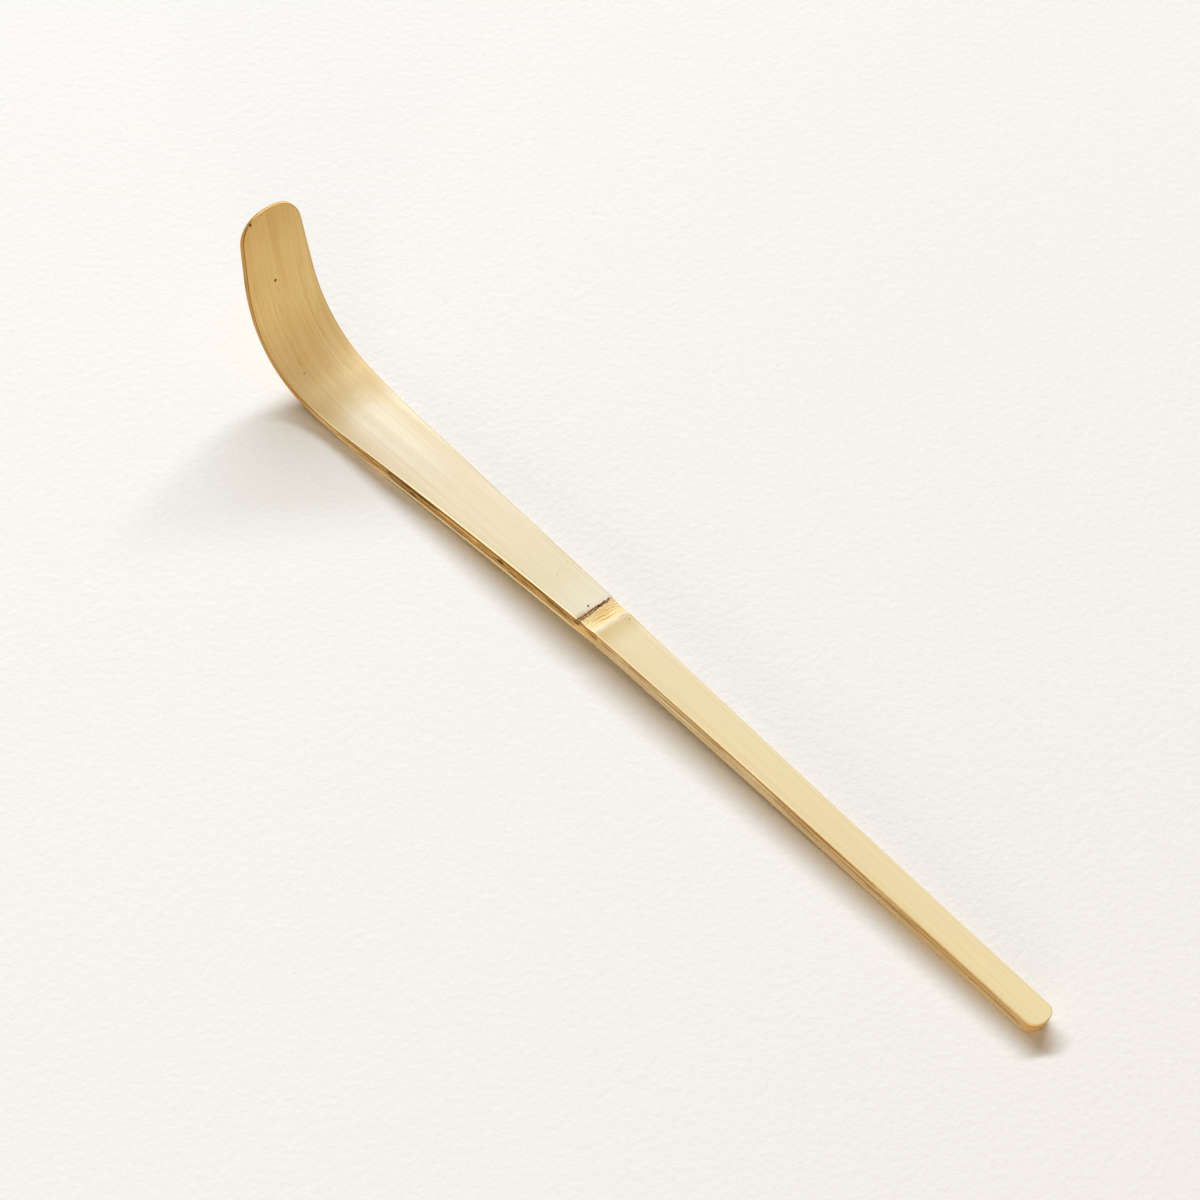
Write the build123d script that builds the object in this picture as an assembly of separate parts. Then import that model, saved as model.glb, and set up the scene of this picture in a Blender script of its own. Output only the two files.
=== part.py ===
"""Bamboo tea scoop: one carved and bent slip, modelled as the natural layers that it is made of.

The slip lies along X with its butt at +X. The blade rises towards +Z at the other end, and its scooping
face looks back along the slip. The origin is at the bottom centre of the scoop's box. Millimetres.
"""
from build123d import *
import os
from math import asin, atan, atan2, cos, radians, sin

# Lengths along the slip: from the scar to the butt, from the scar to the heel, and the straight of the blade
handle_length = 98.8
shank_length = 54.0
blade_length = 13.0

# Scooping side: the rise of the shank's long hump, then the radius of each arc of the bend and the angle
# that the slip climbs at where that arc ends
shank_hump = 0.22
lead_radius = 52.0
lead_angle = 9.0
bend_radius = 14.0
bend_angle = 67.0
ease_radius = 23.5
blade_tilt = 81.0

# Thicknesses of the slip and of its layers
handle_thickness = 2.7
shank_thickness = 2.6
heel_thickness = 2.0
blade_thickness = 1.45
tip_thickness = 0.65
skin_thickness = 0.35
inner_thickness = 0.55

# Height of the arch under the node, the two flats that the scoop rests on, and the bevel behind the tip
node_lift = 1.5
heel_flat = 7.0
butt_flat = 29.0
tip_bevel = 5.5

# Widths
butt_width = 4.65
handle_mid_width = 5.2
handle_width = 6.6
band_width = 6.6
scar_width = 7.15
shank_mid_width = 9.06
heel_width = 11.72
bend_width = 12.9
blade_width = 12.16
tip_width = 10.6

# Rounded ends: radius of the two corners, and how far the middle stands out past them
tip_corner = 3.2
tip_crown = 3.2
butt_corner = 1.7
butt_crown = 0.5

# Node: lengths along the slip, the groove, the ridge, and how deep the node's pieces sit in the wall
scar_length = 0.9
band_length = 2.4
ridge_length = 1.3
groove_depth = 0.3
ridge_rise = 0.12
seat_depth = 0.8


def on_arc(centre: Vector, radius: float, heading: float) -> Vector:
    """Point of an arc of the side profile where the slip climbs at the given heading, in radians."""
    return centre - Vector(sin(heading), cos(heading)) * radius


def height_at(x: float, start: Vector, end: Vector) -> float:
    """Height at x of the straight line through two points of the side profile."""
    return start.Y + (end.Y - start.Y) * (x - start.X) / (end.X - start.X)


# Stations of the node, as x from the scar, with the top of the arch under the middle of the groove
scar_start_x = -scar_length / 2
scar_end_x = scar_length / 2
ridge_start_x = scar_end_x + band_length
ridge_end_x = ridge_start_x + ridge_length
groove_x = (scar_end_x + ridge_start_x) / 2
crest_x = (ridge_start_x + ridge_end_x) / 2

# Scooping side of the side profile, from the scar to the tip: a chain of arcs, of which the first is humped
scar_start = Vector(scar_start_x, node_lift + shank_thickness)
shank_end = Vector(-shank_length, heel_thickness)
chord = scar_start - shank_end
chord_fall = atan2(chord.Y, chord.X)
hump_turn = 2 * atan(2 * shank_hump / chord.length)
hump_radius = chord.length / 2 / sin(hump_turn)
lead = radians(lead_angle)
half_way = radians((lead_angle + bend_angle) / 2)
tilt = radians(blade_tilt)
radii = [-hump_radius, lead_radius, bend_radius, ease_radius]
headings = [hump_turn - chord_fall, -hump_turn - chord_fall, lead, radians(bend_angle), tilt]
centres = []
bend_end = scar_start
for radius, start, end in zip(radii, headings, headings[1:]):
    centres.append(bend_end + Vector(sin(start), cos(start)) * radius)
    bend_end = on_arc(centres[-1], radius, end)
bend_centre = centres[2]
ease_centre = centres[3]
bend_middle = on_arc(bend_centre, bend_radius, half_way)

# Straight of the blade, with its back shaved thin behind the tip
blade_along = Vector(-cos(tilt), sin(tilt))
blade_normal = Vector(sin(tilt), cos(tilt))
tip = bend_end + blade_along * blade_length
skin_bend_end = bend_end - blade_normal * skin_thickness
skin_tip = tip - blade_normal * skin_thickness
back_tip = tip - blade_normal * tip_thickness
bevel_start = tip - blade_along * tip_bevel - blade_normal * blade_thickness

# Underside of the bend, down to the flat under the heel
back_ease_radius = ease_radius + blade_thickness
back_bend_radius = bend_radius + blade_thickness
back_bend_end = on_arc(ease_centre, back_ease_radius, tilt)
back_bend_start = on_arc(bend_centre, back_bend_radius, lead)
heel_start = Vector(shank_end.X, 0)
heel_end = heel_start + Vector(heel_flat, 0)

# Handle, falling from the node to the flat under the butt
node_bottom = Vector(groove_x, node_lift)
handle_start = Vector(groove_x, node_lift + handle_thickness)
handle_end = Vector(handle_length, handle_thickness)
butt_flat_start = Vector(handle_length - butt_flat, 0)
butt_bottom = Vector(handle_length, 0)
skin_drop = Vector(0, -skin_thickness)
inner_step = Vector(0, inner_thickness)

# Heights where the node's pieces meet each other, the two skins and the layers under them
seat_z = scar_start.Y - seat_depth
groove_z = scar_start.Y - groove_depth
scar_end_z = (scar_start.Y + groove_z) / 2
ridge_end_z = height_at(ridge_end_x, handle_start, handle_end)
ridge_start_z = (ridge_end_z + groove_z) / 2
scar_end = Vector(scar_end_x, scar_end_z)
ridge_start = Vector(ridge_start_x, ridge_start_z)
ridge_end = Vector(ridge_end_x, ridge_end_z)
groove = Vector(groove_x, groove_z)
crest = Vector(crest_x, ridge_end_z + ridge_rise)
seats = [Vector(x, seat_z) for x in (scar_start_x, scar_end_x, ridge_start_x, ridge_end_x)]
core_start = Vector(scar_start_x, height_at(scar_start_x, heel_end, node_bottom))
core_end = Vector(ridge_end_x, height_at(ridge_end_x, node_bottom, butt_flat_start))

# The scar's place along X puts the origin in the middle of the scoop's box
scar_x = -(handle_length + min(back_tip.X, bevel_start.X)) / 2
side_plane = Plane(origin=(scar_x, 0, 0), x_dir=(1, 0, 0), z_dir=(0, -1, 0))
top_plane = Plane(origin=(scar_x, 0, 0))
blade_plane = Plane(
    origin=(scar_x + bend_end.X, 0, bend_end.Y),
    x_dir=(blade_along.X, 0, blade_along.Y),
    z_dir=(blade_normal.X, 0, blade_normal.Y),
)
middle_plane = Plane(
    origin=(scar_x + bend_centre.X, 0, bend_centre.Y),
    x_dir=(0, 1, 0),
    z_dir=(cos(half_way), 0, -sin(half_way)),
)


def outline(side: list, end_x: float, corner_radius: float) -> Face:
    """Flat outline with a straight back and a crowned, rounded end.

    Args:
        side: edges of one side, in order, from the straight back to the rounded end.
        end_x: how far the crowned end reaches.
        corner_radius: radius of the two corners at that end.
    """
    other = [mirror(edge, about=Plane.XZ) for edge in side]
    corners = [side[-1] @ 1, other[-1] @ 1]
    back = Line(side[0] @ 0, other[0] @ 0)
    crown = ThreePointArc(corners[0], (end_x, 0), corners[1])
    face = make_face([back, *side, crown, *other])
    ends = [face.vertices().sort_by_distance(corner)[0] for corner in corners]
    return fillet(ends, min(corner_radius, corners[0].Y * 0.9))


def plan_prism() -> Part:
    """Handle, node and shank as seen from above, as a prism up to the middle of the bend."""
    behind_x = bend_centre.X - back_bend_radius
    corner_x = handle_length - butt_crown
    flare = Vector((shank_end.X + bend_middle.X) / 2, (heel_width + 3 * bend_width) / 8)
    parallel = Vector(bend_middle.X, bend_width / 2)
    heel = Vector(shank_end.X, heel_width / 2)
    shank_middle = Vector((shank_end.X + scar_start_x) / 2, shank_mid_width / 2)
    scar = Vector(scar_start_x, scar_width / 2)
    band = Vector(scar_end_x, band_width / 2)
    ridge = Vector(ridge_start_x, band_width / 2)
    handle = Vector(ridge_end_x, handle_width / 2)
    handle_middle = Vector((ridge_end_x + corner_x) / 2, handle_mid_width / 2)
    side = [
        Line((behind_x, bend_width / 2), parallel),
        ThreePointArc(parallel, flare, heel),
        ThreePointArc(heel, shank_middle, scar),
        Line(scar, band),
        Line(band, ridge),
        Line(ridge, handle),
        ThreePointArc(handle, handle_middle, (corner_x, butt_width / 2)),
    ]
    face = top_plane * outline(side, handle_length, butt_corner)
    prism = extrude(face, tip.Y)
    return split(prism, bisect_by=middle_plane, keep=Keep.TOP)


def blade_prism() -> Part:
    """Blade as seen square to its face, as a prism down to the middle of the bend."""
    parallel = Vector((bend_middle - bend_end).dot(blade_along) * 0.8, bend_width / 2)
    side = [
        Line((-back_ease_radius, bend_width / 2), parallel),
        ThreePointArc(parallel, (0, blade_width / 2), (blade_length - tip_crown, tip_width / 2)),
    ]
    face = blade_plane * outline(side, blade_length, tip_corner)
    prism = extrude(face, back_ease_radius, both=True)
    return split(prism, bisect_by=middle_plane, keep=Keep.BOTTOM)


def region(*edges) -> Face:
    """Closed region of the side profile."""
    return side_plane * make_face([*edges])


def loop(*points) -> Face:
    """Closed region of the side profile with straight sides."""
    return region(Polyline(*points, close=True))


def bow(centre: Vector, radius: float, start: float, end: float) -> Edge:
    """Arc of the side profile from one heading to another."""
    return ThreePointArc(*(on_arc(centre, radius, heading) for heading in (start, (start + end) / 2, end)))


def face_line(depth: float) -> list:
    """Arcs of the scooping side, from the scar to the blade, at a depth under its surface."""
    scar_heading = asin((centres[0].X - scar_start_x) / (radii[0] + depth))
    starts = [scar_heading, *headings[1:]]
    arcs = zip(centres, radii, starts, headings[1:])
    return [bow(centre, radius + depth, start, end) for centre, radius, start, end in arcs]


skin_line = face_line(skin_thickness)
skin_scar = skin_line[0] @ 0


def scoop_skin() -> Face:
    """Outer skin of the shank, the bend and the scooping face."""
    return region(
        *face_line(0),
        Polyline(bend_end, tip, skin_tip, skin_bend_end),
        *skin_line,
        Line(skin_scar, scar_start),
    )


def node_band() -> Face:
    """Band of cross fibres, hollowed to the groove."""
    return region(
        ThreePointArc(scar_end, groove, ridge_start),
        Polyline(ridge_start, seats[2], seats[1], scar_end),
    )


def node_ridge() -> Face:
    """Ridge of the node, rounded along its crest."""
    return region(
        ThreePointArc(ridge_start, crest, ridge_end),
        Polyline(ridge_end, seats[3], seats[2], ridge_start),
    )


def scoop_wall() -> Face:
    """Fibrous wall under the skin of the shank and the bend, and the whole underside of the blade."""
    return region(
        *skin_line,
        Polyline(skin_scar, core_start + inner_step, heel_end + inner_step, heel_start, back_bend_start),
        bow(bend_centre, back_bend_radius, lead, headings[3]),
        bow(ease_centre, back_ease_radius, headings[3], tilt),
        Polyline(back_bend_end, bevel_start, back_tip, skin_tip, skin_bend_end),
    )


layers = {
    "scoop_skin": scoop_skin(),
    "sheath_scar": loop(scar_start, scar_end, seats[1], seats[0]),
    "node_band": node_band(),
    "node_ridge": node_ridge(),
    "handle_skin": loop(ridge_end, handle_end, handle_end + skin_drop, ridge_end + skin_drop),
    "scoop_wall": scoop_wall(),
    "node_core": loop(core_start, node_bottom, core_end, seats[3], seats[0]),
    "handle_wall": loop(
        ridge_end + skin_drop,
        handle_end + skin_drop,
        butt_bottom + inner_step,
        butt_flat_start + inner_step,
        core_end + inner_step,
    ),
    "scoop_inner_layer": loop(
        heel_start, heel_end, core_start, core_start + inner_step, heel_end + inner_step
    ),
    "handle_inner_layer": loop(
        core_end,
        butt_flat_start,
        butt_bottom,
        butt_bottom + inner_step,
        butt_flat_start + inner_step,
        core_end + inner_step,
    ),
}

os.makedirs("parts", exist_ok=True)
slip = plan_prism() + blade_prism()
for name, profile in layers.items():
    layer = extrude(profile, bend_width, both=True) & slip
    export_step(layer, f"parts/{name}.step")
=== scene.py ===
"""Looks of a bamboo tea scoop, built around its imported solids.

The slip is made the way its maker makes it: each layer is cut as a flat blank, and a node tree then bends the
blank along the scoop's side line. Sizes are in millimetres and finished meshes in metres. "Along" is the
distance from the butt, measured on the scooping face, "across" runs from the near side to the far side, and
"depth" is the distance under that face. Grain is given in waves to the millimetre.
"""

import logging
import math
from dataclasses import dataclass, field
from enum import Enum
from functools import cached_property

import bmesh
import bpy
import numpy as np
from mathutils import Matrix, Vector


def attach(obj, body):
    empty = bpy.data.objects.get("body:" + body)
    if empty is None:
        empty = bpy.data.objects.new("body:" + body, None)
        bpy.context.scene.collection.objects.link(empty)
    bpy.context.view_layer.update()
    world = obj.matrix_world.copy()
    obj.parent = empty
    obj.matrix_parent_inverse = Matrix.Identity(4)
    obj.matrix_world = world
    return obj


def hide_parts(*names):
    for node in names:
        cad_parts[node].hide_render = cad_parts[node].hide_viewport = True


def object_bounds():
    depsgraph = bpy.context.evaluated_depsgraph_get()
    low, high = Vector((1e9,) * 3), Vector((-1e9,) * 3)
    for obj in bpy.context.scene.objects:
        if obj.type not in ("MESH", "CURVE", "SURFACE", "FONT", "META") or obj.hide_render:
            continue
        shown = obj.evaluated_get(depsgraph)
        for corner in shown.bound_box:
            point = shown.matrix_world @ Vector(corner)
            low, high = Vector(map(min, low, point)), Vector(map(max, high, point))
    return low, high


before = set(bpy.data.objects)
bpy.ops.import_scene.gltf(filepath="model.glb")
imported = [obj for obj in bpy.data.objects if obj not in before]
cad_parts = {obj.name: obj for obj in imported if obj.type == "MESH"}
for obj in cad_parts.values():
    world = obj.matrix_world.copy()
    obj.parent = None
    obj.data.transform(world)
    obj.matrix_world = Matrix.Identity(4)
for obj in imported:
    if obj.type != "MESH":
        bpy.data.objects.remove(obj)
cad_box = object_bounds()
log = logging.getLogger("tea_scoop")
MM = 0.001
Colour = tuple[float, float, float, float]
Run = tuple[float, float]
Triple = tuple[float, float, float]
Material = bpy.types.Material
Piece = bpy.types.Object
Tree = bpy.types.NodeTree
Socket = bpy.types.NodeSocket
Feed = Socket | float | tuple[float, ...]


def tone(red: int, green: int, blue: int) -> Colour:
    """Turns a display colour into the linear colour that a shader reads.

    Args:
        red: red level, from 0 to 255.
        green: green level, from 0 to 255.
        blue: blue level, from 0 to 255.

    Returns:
        The linear colour.
    """
    shares = (value / 255 for value in (red, green, blue))
    linear = [s / 12.92 if s <= 0.04045 else ((s + 0.055) / 1.055) ** 2.4 for s in shares]
    return (*linear, 1.0)


def soften(values: np.ndarray, reach: float) -> np.ndarray:
    """Smooths evenly spaced values with a bell.

    Args:
        values: the values.
        reach: width of the bell, in samples.

    Returns:
        As many smoothed values.
    """
    half = int(3 * reach)
    bell = np.exp(-0.5 * (np.arange(-half, half + 1) / reach) ** 2)
    padded = np.pad(values, half, mode="reflect", reflect_type="odd")
    return np.convolve(padded, bell / bell.sum(), mode="valid")


def quadratic(along: np.ndarray, places: Triple, values: Triple) -> np.ndarray:
    """Smooth curve through three values at three places."""
    return np.polyval(np.polyfit(places, values, 2), along)


def metres(size: Triple) -> Triple:
    """Three sizes in millimetres, turned into metres."""
    return tuple(value * MM for value in size)


class Side(Enum):
    """The two long sides of the slip."""

    NEAR = -1
    FAR = 1


@dataclass(frozen=True)
class Ease:
    """Smooth change of a number over a run, from its value before the run to its value after it."""

    start: Feed
    end: Feed
    before: float = 0.0
    after: float = 1.0

    def moved(self, by: float) -> "Ease":
        """The same change, moved along."""
        return Ease(self.start + by, self.end + by, self.before, self.after)


@dataclass(frozen=True)
class Stretch:
    """Stretch that comes in over one run and goes out over another."""

    rise: Run
    fall: Run

    def moved(self, by: float) -> "Stretch":
        """The same stretch, moved along."""
        return Stretch((self.rise[0] + by, self.rise[1] + by), (self.fall[0] + by, self.fall[1] + by))


@dataclass(frozen=True)
class Grain:
    """Noise that follows the slip: its waves along, across and deep, detail, offset and contrast."""

    along: float
    across: float
    depth: float = 0.0
    detail: float = 2.0
    offset: Triple = (0.0, 0.0, 0.0)
    ease: Ease | None = None


@dataclass(frozen=True)
class Streaks:
    """Streaks of the grain, with the tint that they give the colour under them."""

    grain: Grain
    tint: Triple


@dataclass(frozen=True)
class Stations:
    """Places along a blank, with its half width and the outward direction of its outline at each."""

    along: np.ndarray
    half: np.ndarray
    out_along: np.ndarray
    out_across: np.ndarray


@dataclass(frozen=True)
class Cleft:
    """Dark split in the cut fibres of the near side: its place along and deep, its reach and its hollow."""

    along: float
    depth: float
    long: float
    high: float
    share: float = 0.85
    hollow: float = 0.0

    def reach_at(self, along: np.ndarray, depth: np.ndarray) -> np.ndarray:
        """Share of the split at a place, from 1 at its middle to 0 at its edge."""
        away = np.hypot((along - self.along) / self.long, (depth - self.depth) / self.high)
        return np.clip(1 - away, 0, 1)


SHANK_CLEFTS = (
    Cleft(95.2, 1.15, 2.6, 0.22, 0.9, 0.06),
    Cleft(99.3, 0.95, 1.0, 0.6, 0.95, 0.1),
    Cleft(101.6, 1.4, 2.6, 0.2, 0.95, 0.08),
    Cleft(103.2, 0.95, 3.2, 0.32, 0.95, 0.12),
    Cleft(106.4, 0.75, 3.2, 0.2, 0.9, 0.08),
    Cleft(109.5, 1.35, 3.5, 0.16, 0.55, 0.05),
    Cleft(116.8, 1.2, 1.1, 0.35, 0.95, 0.12),
    Cleft(120.5, 1.05, 3.0, 0.2, 0.6, 0.06),
    Cleft(127.0, 1.4, 4.0, 0.14, 0.5, 0.05),
    Cleft(137.3, 1.5, 1.0, 0.3, 0.85, 0.1),
    Cleft(142.6, 0.7, 1.2, 0.3, 0.9, 0.1),
)
HANDLE_CLEFTS = (
    Cleft(92.3, 1.0, 2.4, 0.24, 0.9, 0.05),
    Cleft(47.0, 0.8, 9.0, 0.3, 0.75, 0.04),
    Cleft(22.0, 1.5, 34.0, 0.34, 0.5, 0.04),
)


@dataclass
class LayerJob:
    """One layer of a sub-assembly: which node it replaces, its depths and how finely it is cut."""

    node: str
    slot: str
    top: np.ndarray
    bottom: np.ndarray
    finish: Material
    columns: int
    rows: int
    relief: float = 0.0
    clefts: tuple[Cleft, ...] = ()
    lip: float = 0.05


@dataclass(frozen=True)
class Slip:
    """Sizes of the whole carved slip, and the rules that its side line, outline and thickness follow."""

    handle_length: float = 98.8
    shank_length: float = 54.0
    blade_length: float = 13.0
    shank_hump: float = 0.22
    lead_radius: float = 52.0
    lead_angle: float = 9.0
    bend_radius: float = 14.0
    bend_angle: float = 67.0
    ease_radius: float = 23.5
    blade_tilt: float = 81.0
    handle_thickness: float = 2.7
    heel_thickness: float = 2.0
    heel_step: float = 0.1
    blade_thickness: float = 1.45
    tip_thickness: float = 0.645
    skin_thickness: float = 0.35
    inner_thickness: float = 0.55
    scar_height: float = 4.1
    node_height: float = 4.2
    node_lift: float = 1.5
    groove_place: float = 1.65
    butt_flat: float = 29.0
    heel_flat: float = 7.0
    heel_run: float = 3.5
    tip_bevel: float = 5.5
    butt_width: float = 4.65
    butt_width_place: float = 0.5
    handle_mid_width: float = 5.2
    handle_width: float = 6.6
    band_width: float = 6.6
    scar_width: float = 7.15
    shank_mid_width: float = 9.06
    heel_width: float = 11.72
    bend_width: float = 12.9
    flare_power: float = 1.8
    blade_width: float = 12.16
    blade_power: float = 1.5
    tip_width: float = 10.9
    tip_width_place: float = 3.2
    tip_round: float = 5.0
    tip_fullness: float = 2.35
    butt_round: float = 2.1
    butt_fullness: float = 2.3
    butt_lean: float = 0.85
    lean_run: float = 7.0
    lean_power: float = 1.3
    scar_length: float = 0.9
    scar_line: float = 0.18
    band_length: float = 2.4
    ridge_length: float = 1.3
    groove_depth: float = 0.3
    ridge_rise: float = 0.045
    seat_depth: float = 0.8
    notch_run: float = 3.0
    notch_power: float = 0.8
    crown_radius: float = 180.0
    arris: float = 0.09
    rough_start: float = 0.2
    rough_ease: float = 0.25
    rough_foot: float = 0.2
    rough_end: float = 1.0
    seam_reach: float = 1.0
    line_softness: float = 1.0
    thickness_softness: float = 0.8
    outline_softness: float = 0.22
    relief_softness: float = 0.2
    line_step: float = 0.05
    end_steps: int = 25

    @property
    def ridge_end(self) -> float:
        """Distance of the ridge's handle side from the scar's middle."""
        return self.scar_length / 2 + self.band_length + self.ridge_length

    @property
    def node_start(self) -> float:
        """Where the node begins, coming from the butt."""
        return self.handle_length - self.ridge_end

    @property
    def ridge_start(self) -> float:
        """Where the ridge meets the band of cross fibres."""
        return self.node_start + self.ridge_length

    @property
    def scar_start(self) -> float:
        """Where the band of cross fibres meets the scar."""
        return self.ridge_start + self.band_length

    @property
    def node_end(self) -> float:
        """Where the scar meets the shank."""
        return self.scar_start + self.scar_length

    @property
    def heel(self) -> float:
        """Where the shank ends and the slip leaves the table."""
        return self.handle_length + self.shank_length

    @property
    def length(self) -> float:
        """Length of the whole slip, measured on its face."""
        return float(self.along[-1])

    @property
    def shift(self) -> float:
        """How far the scar stands from the origin, along X."""
        return cad_box[1][0] / MM - self.handle_length

    @cached_property
    def climb(self) -> float:
        """Angle at which the handle climbs from the butt to the node."""
        return math.atan2(self.node_height - self.handle_thickness, self.handle_length - self.groove_place)

    @cached_property
    def strokes(self) -> list[Run]:
        """Side line as a chain of strokes from the butt to the tip.

        Returns:
            The length and the turn of the handle, the kink at the node, the node, the humped shank, the lead,
            the bend, the ease and the blade.
        """
        run = self.shank_length - self.scar_length / 2
        drop = self.scar_height - self.heel_thickness
        chord = math.hypot(run, drop)
        fall = math.atan2(drop, run)
        hump_turn = 2 * math.atan(2 * self.shank_hump / chord)
        lead, bend, tilt = (math.radians(v) for v in (self.lead_angle, self.bend_angle, self.blade_tilt))
        start = hump_turn - fall
        end = -hump_turn - fall
        node_run = self.scar_length + self.band_length + self.ridge_length
        ridge_height = self.handle_thickness + self.node_start * math.tan(self.climb)
        kink = (self.scar_height - ridge_height - node_run * math.tan(start)) / (self.climb - start)
        return [
            (self.node_start + kink, 0.0),
            (self.line_step, start - self.climb),
            (node_run - kink - self.line_step, 0.0),
            (chord * hump_turn / math.sin(hump_turn), end - start),
            (self.lead_radius * (lead - end), lead - end),
            (self.bend_radius * (bend - lead), bend - lead),
            (self.ease_radius * (tilt - bend), tilt - bend),
            (self.blade_length, 0.0),
        ]

    @cached_property
    def stroke_ends(self) -> np.ndarray:
        """Where each stroke ends, along the slip."""
        return np.cumsum([length for length, _ in self.strokes])

    @cached_property
    def along(self) -> np.ndarray:
        """Even steps along the slip, from the butt to the tip."""
        return np.arange(0, self.stroke_ends[-1] + self.line_step / 2, self.line_step)

    @cached_property
    def heading(self) -> np.ndarray:
        """Direction of the side line at every step, with the strokes' joins softened.

        Returns:
            The angle over the table.
        """
        turned = np.cumsum([turn for _, turn in self.strokes])
        heading = self.climb + np.interp(self.along, [0, *self.stroke_ends], [0, *turned])
        return soften(heading, self.line_softness / self.line_step)

    @cached_property
    def face_x(self) -> np.ndarray:
        """Place of the scooping face at every step, from the scar towards the butt."""
        middle = (self.heading[1:] + self.heading[:-1]) / 2
        return self.handle_length - np.concatenate([[0], np.cumsum(np.cos(middle))]) * self.line_step

    @cached_property
    def face_z(self) -> np.ndarray:
        """Height of the scooping face at every step."""
        middle = (self.heading[1:] + self.heading[:-1]) / 2
        return self.handle_thickness + np.concatenate([[0], np.cumsum(np.sin(middle))]) * self.line_step

    @cached_property
    def thick(self) -> np.ndarray:
        """Thickness at every step: flat on the table at the butt and the heel, lifted at the node.

        Returns:
            The thickness under the face line.
        """
        groove = self.handle_length - self.groove_place
        rests = [self.butt_flat, groove, self.heel - self.heel_flat]
        lift = np.interp(self.along, rests, [0.0, self.node_lift, 0.0])
        blade = self.blade_thickness
        places = [self.heel, self.heel + self.heel_run, self.length - self.tip_bevel, self.length]
        values = [self.heel_thickness - self.heel_step, blade, blade, self.tip_thickness]
        thinned = np.interp(self.along, places, values)
        whole = np.where(self.along < self.heel, self.face_z - lift, thinned)
        smooth = soften(whole, self.thickness_softness / self.line_step)
        return np.minimum(smooth, self.face_z / np.cos(self.heading))

    @cached_property
    def half(self) -> np.ndarray:
        """Outline at every step, before the two ends are rounded.

        Returns:
            Half the width.
        """
        along = self.along
        heel, lead_end, bend_end, blade = self.stroke_ends[3:7]
        bend = (lead_end + bend_end) / 2
        tip = self.length - self.tip_width_place
        handle = quadratic(
            along,
            (self.butt_width_place, self.node_start / 2, self.node_start),
            (self.butt_width, self.handle_mid_width, self.handle_width),
        )
        places = [self.node_start, self.ridge_start, self.scar_start, self.node_end]
        widths = [self.handle_width, self.band_width, self.band_width, self.scar_width]
        node = np.interp(along, places, widths)
        shank = quadratic(
            along,
            (self.node_end, (self.node_end + heel) / 2, heel),
            (self.scar_width, self.shank_mid_width, self.heel_width),
        )
        share = np.clip((bend - along) / (bend - heel), 0, 1)
        flare = self.bend_width - (self.bend_width - self.heel_width) * share ** self.flare_power
        fall = np.clip((along - bend) / (blade - bend), 0, None)
        blade_side = self.bend_width - (self.bend_width - self.blade_width) * fall ** self.blade_power
        taper = np.clip((along - blade) / (tip - blade), 0, None)
        tip_side = self.blade_width - (self.blade_width - self.tip_width) * taper
        width = np.select(
            [along < self.node_start, along < self.node_end, along < heel, along < bend, along < blade],
            [handle, node, shank, flare, blade_side],
            tip_side,
        )
        return soften(width, self.outline_softness / self.line_step) / 2

    @cached_property
    def notch(self) -> np.ndarray:
        """How far the node's edge stands back at every step from a straight edge past the node.

        Returns:
            The distance.
        """
        reach = [self.node_start - self.notch_run, self.node_end + self.notch_run]
        straight = np.interp(self.along, reach, np.interp(reach, self.along, self.half))
        inside = (self.along > reach[0]) & (self.along < reach[1])
        return np.where(inside, straight - self.half, 0.0)

    def surface(self, along: np.ndarray) -> np.ndarray:
        """Finds the visible top under the face line: the groove and the ridge of the node.

        Args:
            along: places along the slip.

        Returns:
            The depth of the top at each place.
        """
        groove = (self.ridge_start + self.scar_start) / 2
        crest = (self.node_start + self.ridge_start) / 2
        places = [self.node_start, crest, self.ridge_start, groove, self.scar_start, self.node_end]
        half = self.groove_depth / 2
        values = [0.0, -self.ridge_rise, half, self.groove_depth, half, 0.0]
        relief = soften(np.interp(self.along, places, values), self.relief_softness / self.line_step)
        return np.interp(along, self.along, relief)

    def thickness(self, along: np.ndarray) -> np.ndarray:
        """Thickness of the slip under its face line."""
        return np.interp(along, self.along, self.thick)

    def inner_top(self, along: np.ndarray) -> np.ndarray:
        """Depth where the pale inner layer begins; it runs out to nothing at the heel."""
        share = np.clip((self.heel - along) / self.heel_flat, 0, 1)
        return self.thickness(along) - self.inner_thickness * share

    def inset(self, depth: np.ndarray, thickness: np.ndarray) -> np.ndarray:
        """Finds how far the rounded arrises stand back from the outline.

        Args:
            depth: depth under the visible top.
            thickness: thickness under the visible top.

        Returns:
            The distance at each depth.
        """
        from_edge = np.minimum(depth, thickness - depth)
        rest = np.clip(self.arris - from_edge, 0, self.arris)
        return self.arris - np.sqrt(self.arris ** 2 - rest ** 2)

    def rough(self, depth: np.ndarray, height: np.ndarray, half: np.ndarray) -> np.ndarray:
        """Finds how rough a cut side is: smooth by the arrises and at the narrow ends.

        Args:
            depth: depth under the visible top.
            height: height over the smooth lip of the underside.
            half: half width of the slip.

        Returns:
            A share from 0 to 1.
        """
        from_top = np.clip((depth - self.rough_start) / self.rough_ease, 0, 1)
        from_foot = np.clip(height / self.rough_foot, 0, 1)
        from_end = np.clip((half - self.rough_end) / self.rough_end, 0, 1)
        return from_top * from_foot * from_end

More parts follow.
